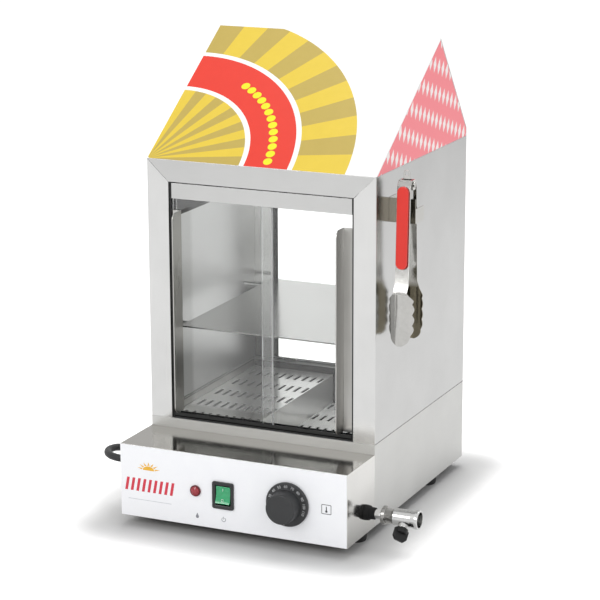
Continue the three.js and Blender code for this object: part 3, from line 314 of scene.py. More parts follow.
def piece(name, skin, material, nodes=(), edge=0.0, smooth=35, body="steamer_body"):
    """One piece from a skin on the drawing: moved to the frame, finished, and tied to its body."""
    bmesh.ops.transform(skin, matrix=TO_FRAME, verts=skin.verts)
    bmesh.ops.recalc_face_normals(skin, faces=skin.faces)
    mesh = bpy.data.meshes.new(name)
    skin.to_mesh(mesh)
    skin.free()
    mesh.materials.append(material)
    mesh.shade_smooth()
    mesh.set_sharp_from_angle(angle=math.radians(smooth))
    made = bpy.data.objects.new(name, mesh)
    scene.collection.objects.link(made)
    if edge > 0:
        bevel = made.modifiers.new("edge", "BEVEL")
        bevel.width = edge * MM
        bevel.segments = 2
        bevel.limit_method = "ANGLE"
        bevel.angle_limit = math.radians(30)
        bevel.harden_normals = True
    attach(made, body)
    if nodes:
        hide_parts(*([nodes] if isinstance(nodes, str) else nodes))
    return made


# Moulded nylon: black, with a faint satin gloss on the ribs
gland_nylon = moulded("black_nylon", 0x1A1B1C, 0x262728, 0.42)
GLAND = (-137.5, -19.0, 56.0)
NUT_RADIUS = 10.4
NUT_THICKNESS = 5.9
SLEEVE_RIBS = 5
SLEEVE_RIB_PITCH = 3.3
SLEEVE_TAPER = 0.34
gland_nut = prism([on_circle(NUT_RADIUS, s / 6) for s in range(6)], 0, NUT_THICKNESS)
rib_line = [(0, -8), (6.9, -8), (6.9, 0), (7.9, 0), (7.9, 6)]
for rib in range(SLEEVE_RIBS):
    start = 6.6 + rib * SLEEVE_RIB_PITCH
    wide = 7.75 - rib * SLEEVE_TAPER
    rib_line += [(wide - 0.9, start), (wide - 0.9, start + 1.0),
                 (wide, start + 1.3), (wide - 0.1, start + 2.9)]
rib_line += [(5.5, 23.2), (5.4, 24.0), (0, 24.0)]
sleeve = turned(fillet(rib_line, 0.35, 2))
gland = merged(gland_nut, sleeve)
piece("cable_gland_nylon", moved(gland, at(*GLAND) @ FACE_LEFT), gland_nylon,
      "cable_gland", edge=0.5)

# Mains plug: a rubber body moulded on the cord's end, with a ribbed sleeve and two round
# brass pins that are nickel-plated. It lies behind the steamer, at the end of the coil.
# Moulded rubber: black and smooth, a little glossier than the cord
plug_rubber = moulded("plug_rubber", 0x191A1B, 0x242526, 0.5, 0.7, 0.03)


def metal(name, dark, pale, low, high, grain_mm=0.5, stretch=(1, 1, 1), depth_mm=0.0):
    """Bare metal: two near tones and a roughness that follow one grain."""
    material, tree, shader = start_material(name)
    grain = grain_input(tree, grain_mm, stretch)
    cloud = grain_input(tree, 60.0, detail=2.0)
    both = maths(tree, "MULTIPLY", maths(tree, "ADD", grain, cloud), 0.5)
    fill(shader, {"Base Color": two_tone(tree, shade_range(tree, both, 0, 1), dark, pale),
                  "Roughness": shade_range(tree, both, low, high), "Metallic": 1.0})
    if depth_mm:
        raise_from(tree, shader, grain, depth_mm)
    return material


# Nickel plate: bright and slightly warm, with soft highlights
nickel = metal("nickel_plate", 0xB9B6AE, 0xD2CFC7, 0.12, 0.22)
PLUG_RIBS = 4
PLUG_RIB_PITCH = 5
PIN_SPACING = 19.0
plug_line = [(0, 0), (5.5, 0)]
for rib in range(PLUG_RIBS):
    start = rib * PLUG_RIB_PITCH
    plug_line += [(5.3 + rib * 0.45, 2 + start), (6.1 + rib * 0.4, 3 + start), (6.2 + rib * 0.4, 5.6 + start)]
plug_line += [(7.0, 22), (10.2, 22.2), (13.3, 25.5), (13.3, 53), (12.3, 55.9), (0, 55.9)]
plug_at = at(coil_end.x + COIL_TAIL + 0.3, coil_end.y, coil_end.z)
plug_body = moved(turned(fillet(plug_line, 1.2, 3)), plug_at @ FACE_RIGHT)
plug = piece("mains_plug_body", plug_body, plug_rubber, "mains_plug")
pin_line = fillet([(0, 53), (2.35, 53), (2.35, 74.6), (0, 74.9)], 1.4)
pins = merged(*[moved(turned(pin_line, 24), plug_at @ at(0, side, 0) @ FACE_RIGHT)
                for side in (-PIN_SPACING / 2, PIN_SPACING / 2)])
plug_pins = piece("mains_plug_pins", pins, nickel)

# Feet: short cones of hard black rubber near the base's four corners, each held by a screw
# from inside.
# Old rubber: dull, with hardly any highlight
foot_rubber = moulded("foot_rubber", 0x151515, 0x212121, 0.7, 0.8, 0.04)
FOOT_X = {"left": -121, "right": 121}
FOOT_Y = {"front": -14, "rear": 196}
foot_line = fillet([(0, 0.0), (11.9, 0.0), (13.4, 12), (0, 12)], 1.2)
for row, foot_y in FOOT_Y.items():
    for hand, foot_x in FOOT_X.items():
        foot = moved(turned(foot_line, 40), at(foot_x, foot_y, 0))
        piece(f"foot_{row}_{hand}_rubber", foot, foot_rubber, f"foot_{row}_{hand}")


# Base housing, its floor and the water tank: 1 mm stainless sheet, folded and welded. The
# tank hangs in the housing by its rim, and the floor plate closes the box from below.
def brushed(name, dark, pale, low, high, along, depth_mm=0.004):
    """Stainless sheet with a fine satin grain along X, Y or Z. The real grain is about 0.05 mm
    wide; it is drawn 0.35 mm wide so that it shows."""
    stretch = tuple(0.012 if axis == along else 1.0 for axis in "XYZ")
    return metal(name, dark, pale, low, high, 0.35, stretch, depth_mm)


def shader_of(material):
    """A material's Principled shader."""
    return material.node_tree.nodes["Principled BSDF"]


def multiplied(material, share, hex_value):
    """Multiplies a material's base colour by a tint, as far as the share says."""
    shader = shader_of(material)
    under = shader.inputs["Base Color"].links[0].from_socket
    fill(shader, {"Base Color": blended(material.node_tree, share, under, colour(hex_value), "MULTIPLY")})
    return material


def own_axis(tree, kind, axis):
    """One axis of where a point of the piece lies, "Object", or of what it faces, "Normal"."""
    place = add_node(tree, "ShaderNodeTexCoord")
    return add_node(tree, "ShaderNodeSeparateXYZ", {"Vector": place.outputs[kind]}).outputs[axis]


def share_below(tree, low, high):
    """1 under the height low, falling to 0 at the height high, both in mm above the worktop."""
    return remapped(tree, own_axis(tree, "Object", "Z"), high * MM, low * MM)


def facing_tone(material, axis, hex_value, side=0, below=None):
    """Paints shade onto the faces that look along an axis, both ways or to one side: a darker
    tint that stands in for the dark things those faces mirror and the shade they stand in."""
    tree = material.node_tree
    normal = own_axis(tree, "Normal", axis)
    facing = maths(tree, "MULTIPLY", normal, side) if side else maths(tree, "ABSOLUTE", normal)
    share = remapped(tree, facing, 0.5, 0.9)
    if below:
        share = maths(tree, "MULTIPLY", share, share_below(tree, below, below + 12))
    return multiplied(material, share, hex_value)


def copied(node):
    """A CAD node's mesh on the drawing, welded, with its flat faces whole."""
    skin = bmesh.new()
    skin.from_mesh(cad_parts[node].data)
    bmesh.ops.transform(skin, matrix=TO_FRAME.inverted(), verts=skin.verts)
    bmesh.ops.remove_doubles(skin, verts=skin.verts, dist=0.002)
    bmesh.ops.dissolve_limit(skin, angle_limit=math.radians(1), verts=skin.verts, edges=skin.edges)
    return skin


def dress(node, material):
    """A CAD node whose shape is right keeps it and gets a better material."""
    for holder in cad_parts[node].material_slots:
        holder.material = material


def finished(name, node, material, edge, smooth=35, body="steamer_body"):
    """A CAD node's own shape as a piece, with its edges softened as a folded sheet's are."""
    return piece(name, copied(node), material, node, edge, smooth, body)


# Brushed stainless: satin, with reflections smeared along the grain
steel_base = brushed("stainless_base_side", 0xC6C6C4, 0xD2D2D0, 0.42, 0.52, "Y")
# Mill-finish stainless: duller; its faces that look front, back, up and down are painted dark,
# for the tank's own inside mirrored in them
steel_tank = metal("stainless_tank", 0xA9A8A5, 0xB4B3B0, 0.3, 0.36, 1.2, depth_mm=0.0005)
facing_tone(facing_tone(steel_tank, "Y", 0x52524F), "Z", 0x484846)
finished("base_housing_sheet", "base_housing", steel_base, 0.35)
for hidden in ("base_floor", "water_tank"):
    dress(hidden, steel_tank)

# Heating element: a steel-sheathed bar in a U, sealed at the tank's front wall, with the
# drain pipe, the thermostat's probe and the low-water sensor beside it.
# Heated steel sheath: grey and slightly mottled
sheath = metal("element_sheath", 0x8E8C88, 0xAFADA8, 0.2, 0.35, 0.8)
# Polished stainless: close to a mirror
bright_steel = metal("polished_stainless", 0xD5D5D4, 0xE8E8E7, 0.05, 0.1, 2.0)
dress("heating_element", sheath)
dress("drain_pipe", bright_steel)
dress("thermostat_probe", bright_steel)
# Turned brass: warm and bright, with faint tool marks
dress("low_water_sensor", metal("turned_brass", 0x9C8348, 0xB89D5C, 0.2, 0.32, 0.6))
# Moulded bakelite: an even dull grey
dress("thermostat_body", moulded("grey_bakelite", 0x77797B, 0x8B8D8F, 0.45))

# Control box: folded stainless sheet, polished nearly to a mirror on top, with a white
# printed film over its face.
# Fine-ground stainless: clear reflections; its faces that look up and down are painted darker,
# for the dark things its top mirrors
steel_box = brushed("stainless_control_box", 0xD2D1CE, 0xDEDDDA, 0.11, 0.16, "X", 0.001)
facing_tone(steel_box, "Z", 0xABA9A5)
finished("control_box_sheet", "control_box", steel_box, 0.45)
# Polyester film: white and satin, almost without texture
film_white = moulded("white_film", 0xF4F5F9, 0xFAFBFD, 0.36, 1.2, 0.006)
dress("control_panel", film_white)


# Print on the panel: screen ink on the film. A small sun stands over a band of slanted bars,
# a drop is under the lamp, a power mark under the switch and a thermometer beside the knob.
PANEL_Y = -76.2
PANEL_FACE = at(0, PANEL_Y, 0) @ FACE_FRONT
INK = 0.06


def flat_print(name, outlines, material, place, body="steamer_body", lift=INK):
    """Print as thin flat shapes. Outlines are drawn on XY and laid on a surface by place."""
    skins = [prism(outline, 0, lift) for outline in outlines]
    return piece(name, moved(merged(*skins), place), material, body=body)


def circle(x, y, radius, steps=32, start=0.0, turn=math.tau):
    """A circle's outline, or the points of an arc."""
    count = steps if turn == math.tau else steps + 1
    return [(x + radius * math.cos(start + turn * s / steps), y + radius * math.sin(start + turn * s / steps))
            for s in range(count)]


def box_outline(x0, x1, y0, y1):
    """A rectangle's outline."""
    return [(x0, y0), (x1, y0), (x1, y1), (x0, y1)]


def ink(name, hex_value):
    """Screen ink: satin, with the faint mottle of a printed layer."""
    channels = [hex_value >> shift & 255 for shift in (16, 8, 0)]
    darker = sum(max(c - 7, 0) << shift for c, shift in zip(channels, (16, 8, 0)))
    return moulded(name, darker, hex_value, 0.34, 0.9, 0.004)


ink_grey = ink("ink_grey", 0x8A8C92)
ink_dark = ink("ink_dark", 0x3A3B3F)
ink_red = ink("ink_red", 0xD8354A)
ink_pale = ink("ink_pale_grey", 0xD3D5DA)
ink_yellow = ink("ink_yellow", 0xF0B93A)

BARS = 9
BAR_PITCH = 7.0
BAR_WIDTH = 3.4
BAR_SLANT = 2.8
BAR_Z = (42.5, 57.5)
bars = []
for bar in range(BARS):
    left = -132 + bar * BAR_PITCH
    bars.append([(left, BAR_Z[0]), (left + BAR_WIDTH, BAR_Z[0]), (left + BAR_WIDTH + BAR_SLANT, BAR_Z[1]),
                 (left + BAR_SLANT, BAR_Z[1])])
flat_print("panel_bars", bars, ink_red, PANEL_FACE)

SUN_X = -102
SUN_Z = 68
SUN_RAYS = 7


def sun_point(across, up, angle):
    """A point of the flattened sun, on an ellipse about its middle."""
    return (SUN_X + across * math.cos(angle), SUN_Z + up * math.sin(angle))


sun_shapes = []
for ray in range(SUN_RAYS):
    middle = math.pi * (ray + 0.5) / SUN_RAYS
    sun_shapes.append([sun_point(8.2, 5.6, middle - 0.17), sun_point(14.5, 9.6, middle),
                       sun_point(8.2, 5.6, middle + 0.17)])
sun_shapes.append([sun_point(7.2, 4.8, math.pi * s / 16) for s in range(17)])
flat_print("panel_sun", sun_shapes, ink_yellow, PANEL_FACE)
flat_print("panel_rule", [box_outline(-128, -74, 32.4, 33.1)], ink_pale, PANEL_FACE)
drop = [(-42, 27.6), *circle(-42, 23.2, 1.9, 16, math.radians(150), math.radians(240))]
flat_print("panel_drop", [drop], ink_grey, PANEL_FACE)
POWER_GAP = (math.radians(120), math.radians(300))
power_ring = circle(-9.7, 24.0, 2.6, 24, *POWER_GAP) + circle(-9.7, 24.0, 2.0, 24, *POWER_GAP)[::-1]
flat_print("panel_power", [power_ring, box_outline(-10.0, -9.4, 24.3, 27.4)], ink_grey, PANEL_FACE)


def icon_frame(inset, radius):
    """The rounded frame of the thermometer icon, or its inner edge, from the middle of its foot."""
    x0, x1, z0, z1 = 107.6 + inset, 119.2 - inset, 48.2 + inset, 59.2 - inset
    middle = (x0 + x1) / 2
    line = fillet([(middle, z0), (x0, z0), (x0, z1), (x1, z1), (x1, z0), (middle, z0)], radius)[:-1]
    return [tuple(point) for point in line]


frame_out = icon_frame(0, 1.2)
frame_in = icon_frame(0.7, 0.8)
thermometer_frame = [*frame_out, frame_out[0], frame_in[0], *frame_in[::-1]]
flat_print("panel_thermometer", [thermometer_frame, circle(113.4, 51.4, 1.35, 20),
                                 box_outline(112.85, 113.95, 52.2, 57.0)], ink_dark, PANEL_FACE)

# Signal lamp: a dark red plastic bezel snapped into the panel from the front, with a domed
# lens of clear red plastic pushed into it.
# Moulded ABS: dark red, with a soft highlight round the rim
bezel_plastic = moulded("dark_red_bezel", 0x5A1218, 0x6E171E, 0.3)
LAMP_AT = at(-43.6, PANEL_Y, 53.0) @ FACE_FRONT
bezel_line = fillet([(0, -22), (4.7, -22), (4.7, 0), (6.35, 0), (6.35, 1.7), (5.9, 2.4), (5.45, 2.35),
                     (5.4, 1.3), (0, 1.3)], 0.3, 3)
piece("signal_lamp_ring", moved(turned(bezel_line), LAMP_AT), bezel_plastic,
      "signal_lamp_bezel")


def clear_coloured(name, dark, pale, roughness, glow):
    """Tinted clear plastic: it passes some light, so it is glossy and a little lit from within."""
    material, tree, shader = start_material(name)
    fill(shader, {"Base Color": two_tone(tree, grain_input(tree, 5.0), dark, pale),
                  "Roughness": shade_range(tree, grain_input(tree, 0.8), roughness - 0.03, roughness + 0.03),
                  "Coat Weight": 0.6, "Coat Roughness": 0.05, "Subsurface Weight": glow,
                  "Subsurface Radius": (0.002, 0.002, 0.002)})
    return material


# Clear polycarbonate, tinted red: dark and glossy while the lamp is off
red_lens = clear_coloured("red_lens", 0x8E1020, 0xA81A2B, 0.2, 0.12)
lens_line = [(0, 1.4), (5.15, 1.4), (5.15, 2.5), (4.6, 2.85), (4.5, 2.75), (3.7, 3.3), (3.6, 3.2),
             (2.6, 3.65), (2.5, 3.55), (1.3, 3.85), (0, 3.95)]
piece("signal_lamp_dome", moved(turned(lens_line), LAMP_AT), red_lens, "signal_lamp_lens",
      smooth=25)

# Power switch: a black plastic housing, snapped into a cut-out of the box, with a clear
# green rocker that tips on a pin inside it. On and off are printed on the rocker.
# Moulded ABS: black, with a satin gloss
housing_plastic = moulded("black_abs", 0x1A1A1B, 0x29292B, 0.32)
SWITCH_X = -9.7
SWITCH_Z = 52.0


def switch_outline(half_width, half_height, radius, steps=5):
    """A rectangle with rounded corners about the switch's middle."""
    across, up = half_width - radius, half_height - radius
    corners = [(across, -up, -90), (across, up, 0), (-across, up, 90), (-across, -up, 180)]
    return [(SWITCH_X + x + radius * math.cos(math.radians(start + 90 * s / steps)),
             SWITCH_Z + z + radius * math.sin(math.radians(start + 90 * s / steps)))
            for x, z, start in corners for s in range(steps + 1)]


def lofted(*sections):
    """A closed body through outlines with as many points each, capped at both ends."""
    skin = bmesh.new()
    loops = [[skin.verts.new((x, y, z)) for x, y in line] for line, z in sections]
    for first, second in zip(loops, loops[1:]):
        for index in range(len(first)):
            after = (index + 1) % len(first)
            skin.faces.new((first[index], first[after], second[after], second[index]))
    skin.faces.new(loops[0])
    skin.faces.new(loops[-1])
    return skin


neck = switch_outline(10.4, 13.2, 1.0)
rim = switch_outline(12.9, 15.5, 2.2)
brow = switch_outline(10.2, 12.6, 1.4)
well = switch_outline(9.1, 11.2, 0.8)
housing = lofted((neck, -26), (neck, 0), (rim, 0), (rim, 2.2), (brow, 2.2), (well, 1.4), (well, -10))
piece("switch_housing_body", moved(housing, PANEL_FACE), housing_plastic,
      "switch_housing", edge=0.35)

ROCKER_HALF_HEIGHT = 9.7
ROCKER_HALF_WIDTH = 8.7
ROCKER_HOLLOW = 1.7
ROCKER_STEPS = 14
STAND_YZ = Matrix(((0, 0, 1, 0), (1, 0, 0, 0), (0, 1, 0, 0), (0, 0, 0, 1)))
rocker_side = []
for step in range(ROCKER_STEPS + 1):
    height = ROCKER_HALF_HEIGHT * (1 - 2 * step / ROCKER_STEPS)
    rocker_side.append((-5.8 + ROCKER_HOLLOW * (1 - (height / ROCKER_HALF_HEIGHT) ** 2), height))
rocker_side += [(0.2, -ROCKER_HALF_HEIGHT), (3.4, -4.8), (3.4, 4.8), (0.2, ROCKER_HALF_HEIGHT)]
rocker_tip = at(SWITCH_X, -73.0, SWITCH_Z) @ Matrix.Rotation(math.radians(-8), 4, "X")
rocker = moved(prism(rocker_side, -ROCKER_HALF_WIDTH, ROCKER_HALF_WIDTH), rocker_tip @ STAND_YZ)
# Clear polycarbonate, tinted green: glossy, and a little lit from within
green_clear = clear_coloured("green_rocker", 0x0F8F55, 0x2BB277, 0.16, 0.2)
piece("switch_rocker_cap", rocker, green_clear, "switch_rocker", edge=0.5,
      body="switch_rocker")
off_ring = circle(0, -5.8, 1.6, 20) + circle(0, -5.8, 1.2, 20)[::-1]
flat_print("rocker_marks", [off_ring, box_outline(-0.25, 0.25, 4.3, 7.5)], ink("ink_rocker_white", 0xE4F4EA),
           rocker_tip @ at(0, -5.15, 0) @ FACE_FRONT, "switch_rocker", 0.05)

# Thermostat knob: moulded black, a flat dial skirt and a raised cap, on the thermostat's
# spindle. Plain numbers are printed round the skirt.
KNOB_AT = at(68.1, PANEL_Y, 53.5) @ FACE_FRONT
# Moulded plastic: black with a matt, finely eroded skin
knob_plastic = moulded("black_knob", 0x232425, 0x2E2F31, 0.46, 0.5, 0.02)
knob_line = fillet([(0, -12), (3, -12), (3, 0.7), (24.9, 0.7), (24.9, 3.4), (23.9, 4.4), (17.6, 4.6),
                    (16.9, 21.9), (0, 21.9)], [0, 0, 0.2, 0.5, 0.8, 0.8, 1.2, 1.7, 0], 6)
piece("thermostat_knob_cap", moved(turned(knob_line, 96), KNOB_AT), knob_plastic,
      "thermostat_knob", body="thermostat_knob")
FIGURE_RING = 20.8
FIGURE_HEIGHT = 4.4
FIRST_FIGURE = 158
FIGURE_STEP = 22.0


def lettered(words, size, place):
    """Plain figures as a thin skin on the drawing, centred on the place."""
    text = bpy.data.curves.new("figures", "FONT")
    text.body = words
    text.size = size
    text.align_x = "CENTER"
    text.align_y = "CENTER"
    text.extrude = 0.03
    text.resolution_u = 3
    holder = bpy.data.objects.new("figures", text)
    mesh = bpy.data.meshes.new_from_object(holder)
    skin = bmesh.new()
    skin.from_mesh(mesh)
    bmesh.ops.remove_doubles(skin, verts=skin.verts, dist=0.0005)
    bpy.data.objects.remove(holder)
    bpy.data.curves.remove(text)
    bpy.data.meshes.remove(mesh)
    return moved(skin, place)


dial = []
for index, degrees in enumerate(range(30, 111, 10)):
    angle = math.radians(FIRST_FIGURE - index * FIGURE_STEP)
    spot = at(FIGURE_RING * math.cos(angle), FIGURE_RING * math.sin(angle), 4.53)
    upright = Matrix.Rotation(angle - math.pi / 2, 4, "Z")
    dial.append(lettered(str(degrees), FIGURE_HEIGHT, KNOB_AT @ spot @ upright))
piece("thermostat_figures", merged(*dial), ink("ink_dial_white", 0xC9CACB),
      body="thermostat_knob")
tick = prism(box_outline(-0.7, 0.7, 19.6, 23.4), 4.2, 4.62)
tick_turn = Matrix.Rotation(math.radians(172), 4, "Z")
piece("thermostat_tick", moved(tick, KNOB_AT @ tick_turn), ink("ink_tick_white", 0xF2F2F2),
      body="thermostat_knob")

# Drain tap: a pipe through a rubber grommet, a ring nut and thread, a polished body with a
# flared mouth, and a black wing handle under it.
TAP_Y = -25
TAP_Z = 37.5
TAP_AXIS = at(0, TAP_Y, TAP_Z) @ FACE_RIGHT
HANDLE_X = 184.05
grommet_line = fillet([(5.6, 135.6), (6.1, 135.6), (6.1, 137.6), (8.7, 137.6), (8.1, 142.9), (6.7, 143.1),
                       (6.6, 149.4), (5.6, 149.4)], 0.5, 3)


def turned_ring(profile, sides=48):
    """A closed ring from a closed profile that never meets the axis."""
    skin = bmesh.new()
    rings = [[skin.verts.new((*on_circle(radius, s / sides), height)) for s in range(sides)]
             for radius, height in profile]
    for low, high in zip(rings, [*rings[1:], rings[0]]):
        for side in range(sides):
            after = (side + 1) % sides
            skin.faces.new((low[side], low[after], high[after], high[side]))
    return skin


# Soft rubber: deep black, without a highlight
grommet_rubber = moulded("grommet_rubber", 0x0B0B0B, 0x131313, 0.7, 0.8, 0.04, 0.3)
piece("drain_grommet_rubber", moved(turned_ring(grommet_line), TAP_AXIS), grommet_rubber,
      "drain_grommet")
# Polished stainless: a near mirror that runs light and dark along the barrel
tap_steel = metal("polished_tap", 0xBDBDBC, 0xD2D2D1, 0.1, 0.18, 3.0)
nut_line = [(5.6, 158.2), (9.6, 158.2), (10.4, 158.9), (10.4, 162.4), (9.6, 163.1), (8.6, 163.2)]
THREADS = 6
THREAD_PITCH = 1.3
for thread in range(THREADS):
    crest = 163.6 + thread * THREAD_PITCH
    nut_line += [(8.6, crest), (7.9, crest + THREAD_PITCH / 2)]
nut_line += [(8.6, 171.3), (5.6, 171.3)]
# Turned stainless: greyer, with fine tool marks round the thread
thread_steel = metal("turned_thread", 0x8A8986, 0xA9A8A5, 0.14, 0.24, 1.0)
piece("drain_nut_thread", moved(turned_ring(nut_line), TAP_AXIS), thread_steel,
      "drain_nut", smooth=30)
body_line = fillet([(0, 171.8), (9.5, 171.8), (9.5, 192.4), (10.7, 197.6), (10.7, 201.0), (8.6, 201.0),
                    (8.5, 187.2), (0, 187.2)], [0, 0.7, 0.7, 2.5, 0.6, 0.4, 0.3, 0], 4)
handle_turn = (at(HANDLE_X, TAP_Y, TAP_Z) @ Matrix.Rotation(math.radians(135), 4, "X")
               @ Matrix.Rotation(math.radians(-45), 4, "Z"))
boss = moved(turned(fillet([(0, 3), (5.4, 3), (5.4, 12.4), (0, 12.4)], 0.5)), handle_turn)
piece("drain_tap_body", merged(moved(turned(body_line), TAP_AXIS), boss), tap_steel,
      "drain_body")
# Moulded nylon: black and satin
wing_plastic = moulded("black_wing", 0x101011, 0x1C1D1D, 0.36, 0.7, 0.02, 0.3)
hub = turned(fillet([(0, 12.9), (6.9, 12.9), (6.9, 17.4), (6.0, 18.6), (0, 18.6)], 0.5))
wing_outline = [(-8.4, 14.2), (-6.0, 12.9), (6.0, 12.9), (8.4, 14.2), (8.4, 23.6), (5.2, 27.6), (-5.2, 27.6),
                (-8.4, 23.6)]
STAND_XZ = Matrix(((1, 0, 0, 0), (0, 0, -1, 0), (0, 1, 0, 0), (0, 0, 0, 1)))
WING_THICKNESS = 3.9
wing = moved(prism(wing_outline, -WING_THICKNESS / 2, WING_THICKNESS / 2), STAND_XZ)
piece("drain_handle_wing", moved(merged(hub, wing), handle_turn), wing_plastic,
      "drain_handle", edge=0.7, body="drain_handle")

# Cabinet: side walls and top of 1 mm stainless, a front frame with mitred corners and a
# rear frame with a window.
# Brushed stainless, with its grain along the rails, up the posts and along the side walls. The
# copies differ in tone only for the light on each part: painted paler on the posts and darker
# on the rails and side walls.
steel_across = brushed("stainless_grain_across", 0xBABAB9, 0xC8C8C7, 0.16, 0.26, "X")
steel_upright = brushed("stainless_grain_upright", 0xC8C8C7, 0xD7D7D6, 0.16, 0.26, "Z")
steel_side = brushed("stainless_grain_side", 0xB9B9B8, 0xC5C5C4, 0.14, 0.21, "Y")
# The left wall is seen from inside, where it blurs what it mirrors
steel_inner = brushed("stainless_left_wall", 0xC2C2C1, 0xCACAC9, 0.4, 0.45, "Y", 0.001)
# The rear frame is a paler copy, painted brighter for the light it mirrors through the doors;
# its front-facing strip under the shelf is painted dark, for the shade and the dark tank mirrored there
steel_rear = brushed("stainless_rear_frame", 0xE8E8E6, 0xF1F1EF, 0.06, 0.1, "Z")
facing_tone(steel_rear, "Y", 0x6E6E6C, side=-1, below=192)
for node, grain, edge in (("left_wall", steel_inner, 0.3), ("right_wall", steel_side, 0.3),
                          ("front_left_post", steel_upright, 0.3), ("front_right_post", steel_upright, 0.3),
                          ("front_top_rail", steel_across, 0.3), ("rear_frame", steel_rear, 0.25)):
    finished(f"{node}_sheet", node, grain, edge)
dress("cabinet_top", steel_side)

# Dark bands and seam shadow: a thin dark grey band on the upper part inside each side wall, and a
# nearly black line along the joint of cabinet and base, painted there as the shadow in the gap.
INNER_WALL_X = 136.5
STRIP_THICKNESS = 0.12
SEAM_X = 137.4
SEAM_THICKNESS = 0.15
# A dark grey, matt band
strip_grey = moulded("dark_edge_strip", 0x4E4D4B, 0x5C5B59, 0.5, 1.2, 0.01)
strip_outline = box_outline(24, 262, 325, 370)
for hand, x in (("left", -INNER_WALL_X), ("right", INNER_WALL_X - STRIP_THICKNESS)):
    strip = prism(strip_outline, x, x + STRIP_THICKNESS)
    piece(f"{hand}_edge_strip", moved(strip, STAND_YZ), strip_grey)
# Painted shadow of the thin gap along the joint: nearly black and matt
sealant = moulded("dark_sealant", 0x3C3B39, 0x4A4947, 0.6, 1.2, 0.01)
seam_outline = box_outline(0.4, 272.6, 106.1, 106.8)
seams = [prism(seam_outline, x, x + SEAM_THICKNESS) for x in (SEAM_X, -SEAM_X - SEAM_THICKNESS)]
piece("wall_seams", moved(merged(*seams), STAND_YZ), sealant)


# Rear glass: a toughened 4 mm pane with ground edges, held by clips that are folded from
# the rear frame's sheet.
def clear_glass(name):
    """Float glass: clear and smooth on its faces, frosted on its ground edges."""
    material, tree, shader = start_material(name)
    smear = grain_input(tree, 40.0)
    edge = remapped(tree, maths(tree, "ABSOLUTE", own_axis(tree, "Normal", "Y")), 0.35, 0.95, 1.0, 0.0)
    frosting = maths(tree, "MULTIPLY", edge, 0.45)
    fill(shader, {"Base Color": two_tone(tree, smear, 0xFCFEFD, 0xFFFFFF),
                  "Roughness": maths(tree, "ADD", shade_range(tree, smear, 0.0, 0.015), frosting),
                  "Transmission Weight": remapped(tree, edge, 0.0, 1.0, 1.0, 0.2), "IOR": 1.5})
    return material


pane_glass = clear_glass("toughened_glass")
finished("rear_glass_pane", "rear_glass", pane_glass, 0.4)

# Door tracks and side strips: a folded steel track above, a black plastic extrusion below
# and black rubber strips on the posts.
finished("upper_track_channel", "upper_door_track", steel_across, 0.2)
# Extruded plastic: black with a dull sheen
track_black = moulded("black_extrusion", 0x1B1C1C, 0x272828, 0.45, 0.6, 0.02, 0.4)
finished("lower_track_sill", "lower_door_track", track_black, 0.2)
# A black sheet on the sill, without any light in it, is the painted shadow of the groove between the two runs
groove_black = moulded("groove_shadow", 0x030303, 0x060606, 0.8, 1.2, 0.01, 0.0)
groove = moved(prism(box_outline(-108.6, 108.6, 108.4, 109.6), -0.06, 0.02), at(0, 2, 0) @ STAND_XZ)
piece("lower_track_groove", groove, groove_black)
# Rubber profile: black and matt
seal_rubber = moulded("seal_rubber", 0x141414, 0x1E1E1E, 0.6)
for seal in ("left_door_seal", "right_door_seal"):
    finished(f"{seal}_strip", seal, seal_rubber, 0.4)

# Sliding doors: a pane of the same glass each, that slides in the tracks. An angle strip of
# stainless is glued along its outer edge as the handle.
# Brushed stainless: greyer than the posts; the left strip is a copy whose faces that look left
# and right are painted darker, for the shade of the posts
right_pull_steel = brushed("stainless_handle", 0xB5B4B1, 0xC5C4C1, 0.26, 0.36, "Z")
left_pull_steel = brushed("stainless_left_handle", 0xB5B4B1, 0xC5C4C1, 0.26, 0.36, "Z")
facing_tone(left_pull_steel, "X", 0xC2C1BE)
for door, pull_steel in (("left_door", left_pull_steel), ("right_door", right_pull_steel)):
    finished(f"{door}_pane", f"{door}_glass", pane_glass, 0.4, body=door)
    finished(f"{door}_pull", f"{door}_handle", pull_steel, 0.25, body=door)

# Shelf, rods and trays: the shelf is plain folded sheet on two steel rods, and the trays are
# slotted sheet. All three lie loose, so that they can be lifted out to be washed.
# Brushed stainless: pale; its folded edge and other faces that look front and back are painted
# darker, as shade
shelf_steel = brushed("stainless_shelf", 0xC8C8C6, 0xD4D4D2, 0.16, 0.24, "X")
facing_tone(shelf_steel, "Y", 0x8A8A88)
finished("shelf_sheet", "shelf", shelf_steel, 0.25, body="shelf")
for rod in ("shelf_rod_front", "shelf_rod_rear"):
    dress(rod, bright_steel)
# Pickled stainless: pale and matt. Its rough skin scatters light as paint does, so it is
# drawn as partly metal; the lower tray is a paler, less metallic copy, painted brighter as lit
# from the front.
raised_steel = brushed("stainless_tray", 0xE2E2E0, 0xEEEEEC, 0.18, 0.26, "X")
lower_steel = brushed("stainless_pickled", 0xF2F2F0, 0xFAFAF8, 0.4, 0.5, "X")
for tray, tray_steel, bare in (("raised_tray", raised_steel, 0.65), ("lower_tray", lower_steel, 0.3)):
    fill(shader_of(tray_steel), {"Metallic": bare})
    dress(tray, tray_steel)

# Sign: a pitched box of 2 mm white plastic sheet on the cabinet's top. Its sloping face is
# screen-printed with rays, an arch and a row of dots; the back is left bare.
SIGN_FOOT = Vector((0, 0, 403.8))
SIGN_RISE = Vector((0, 185.85, 125))
SLOPE = SIGN_RISE.length
SIGN_HALF = 137.2
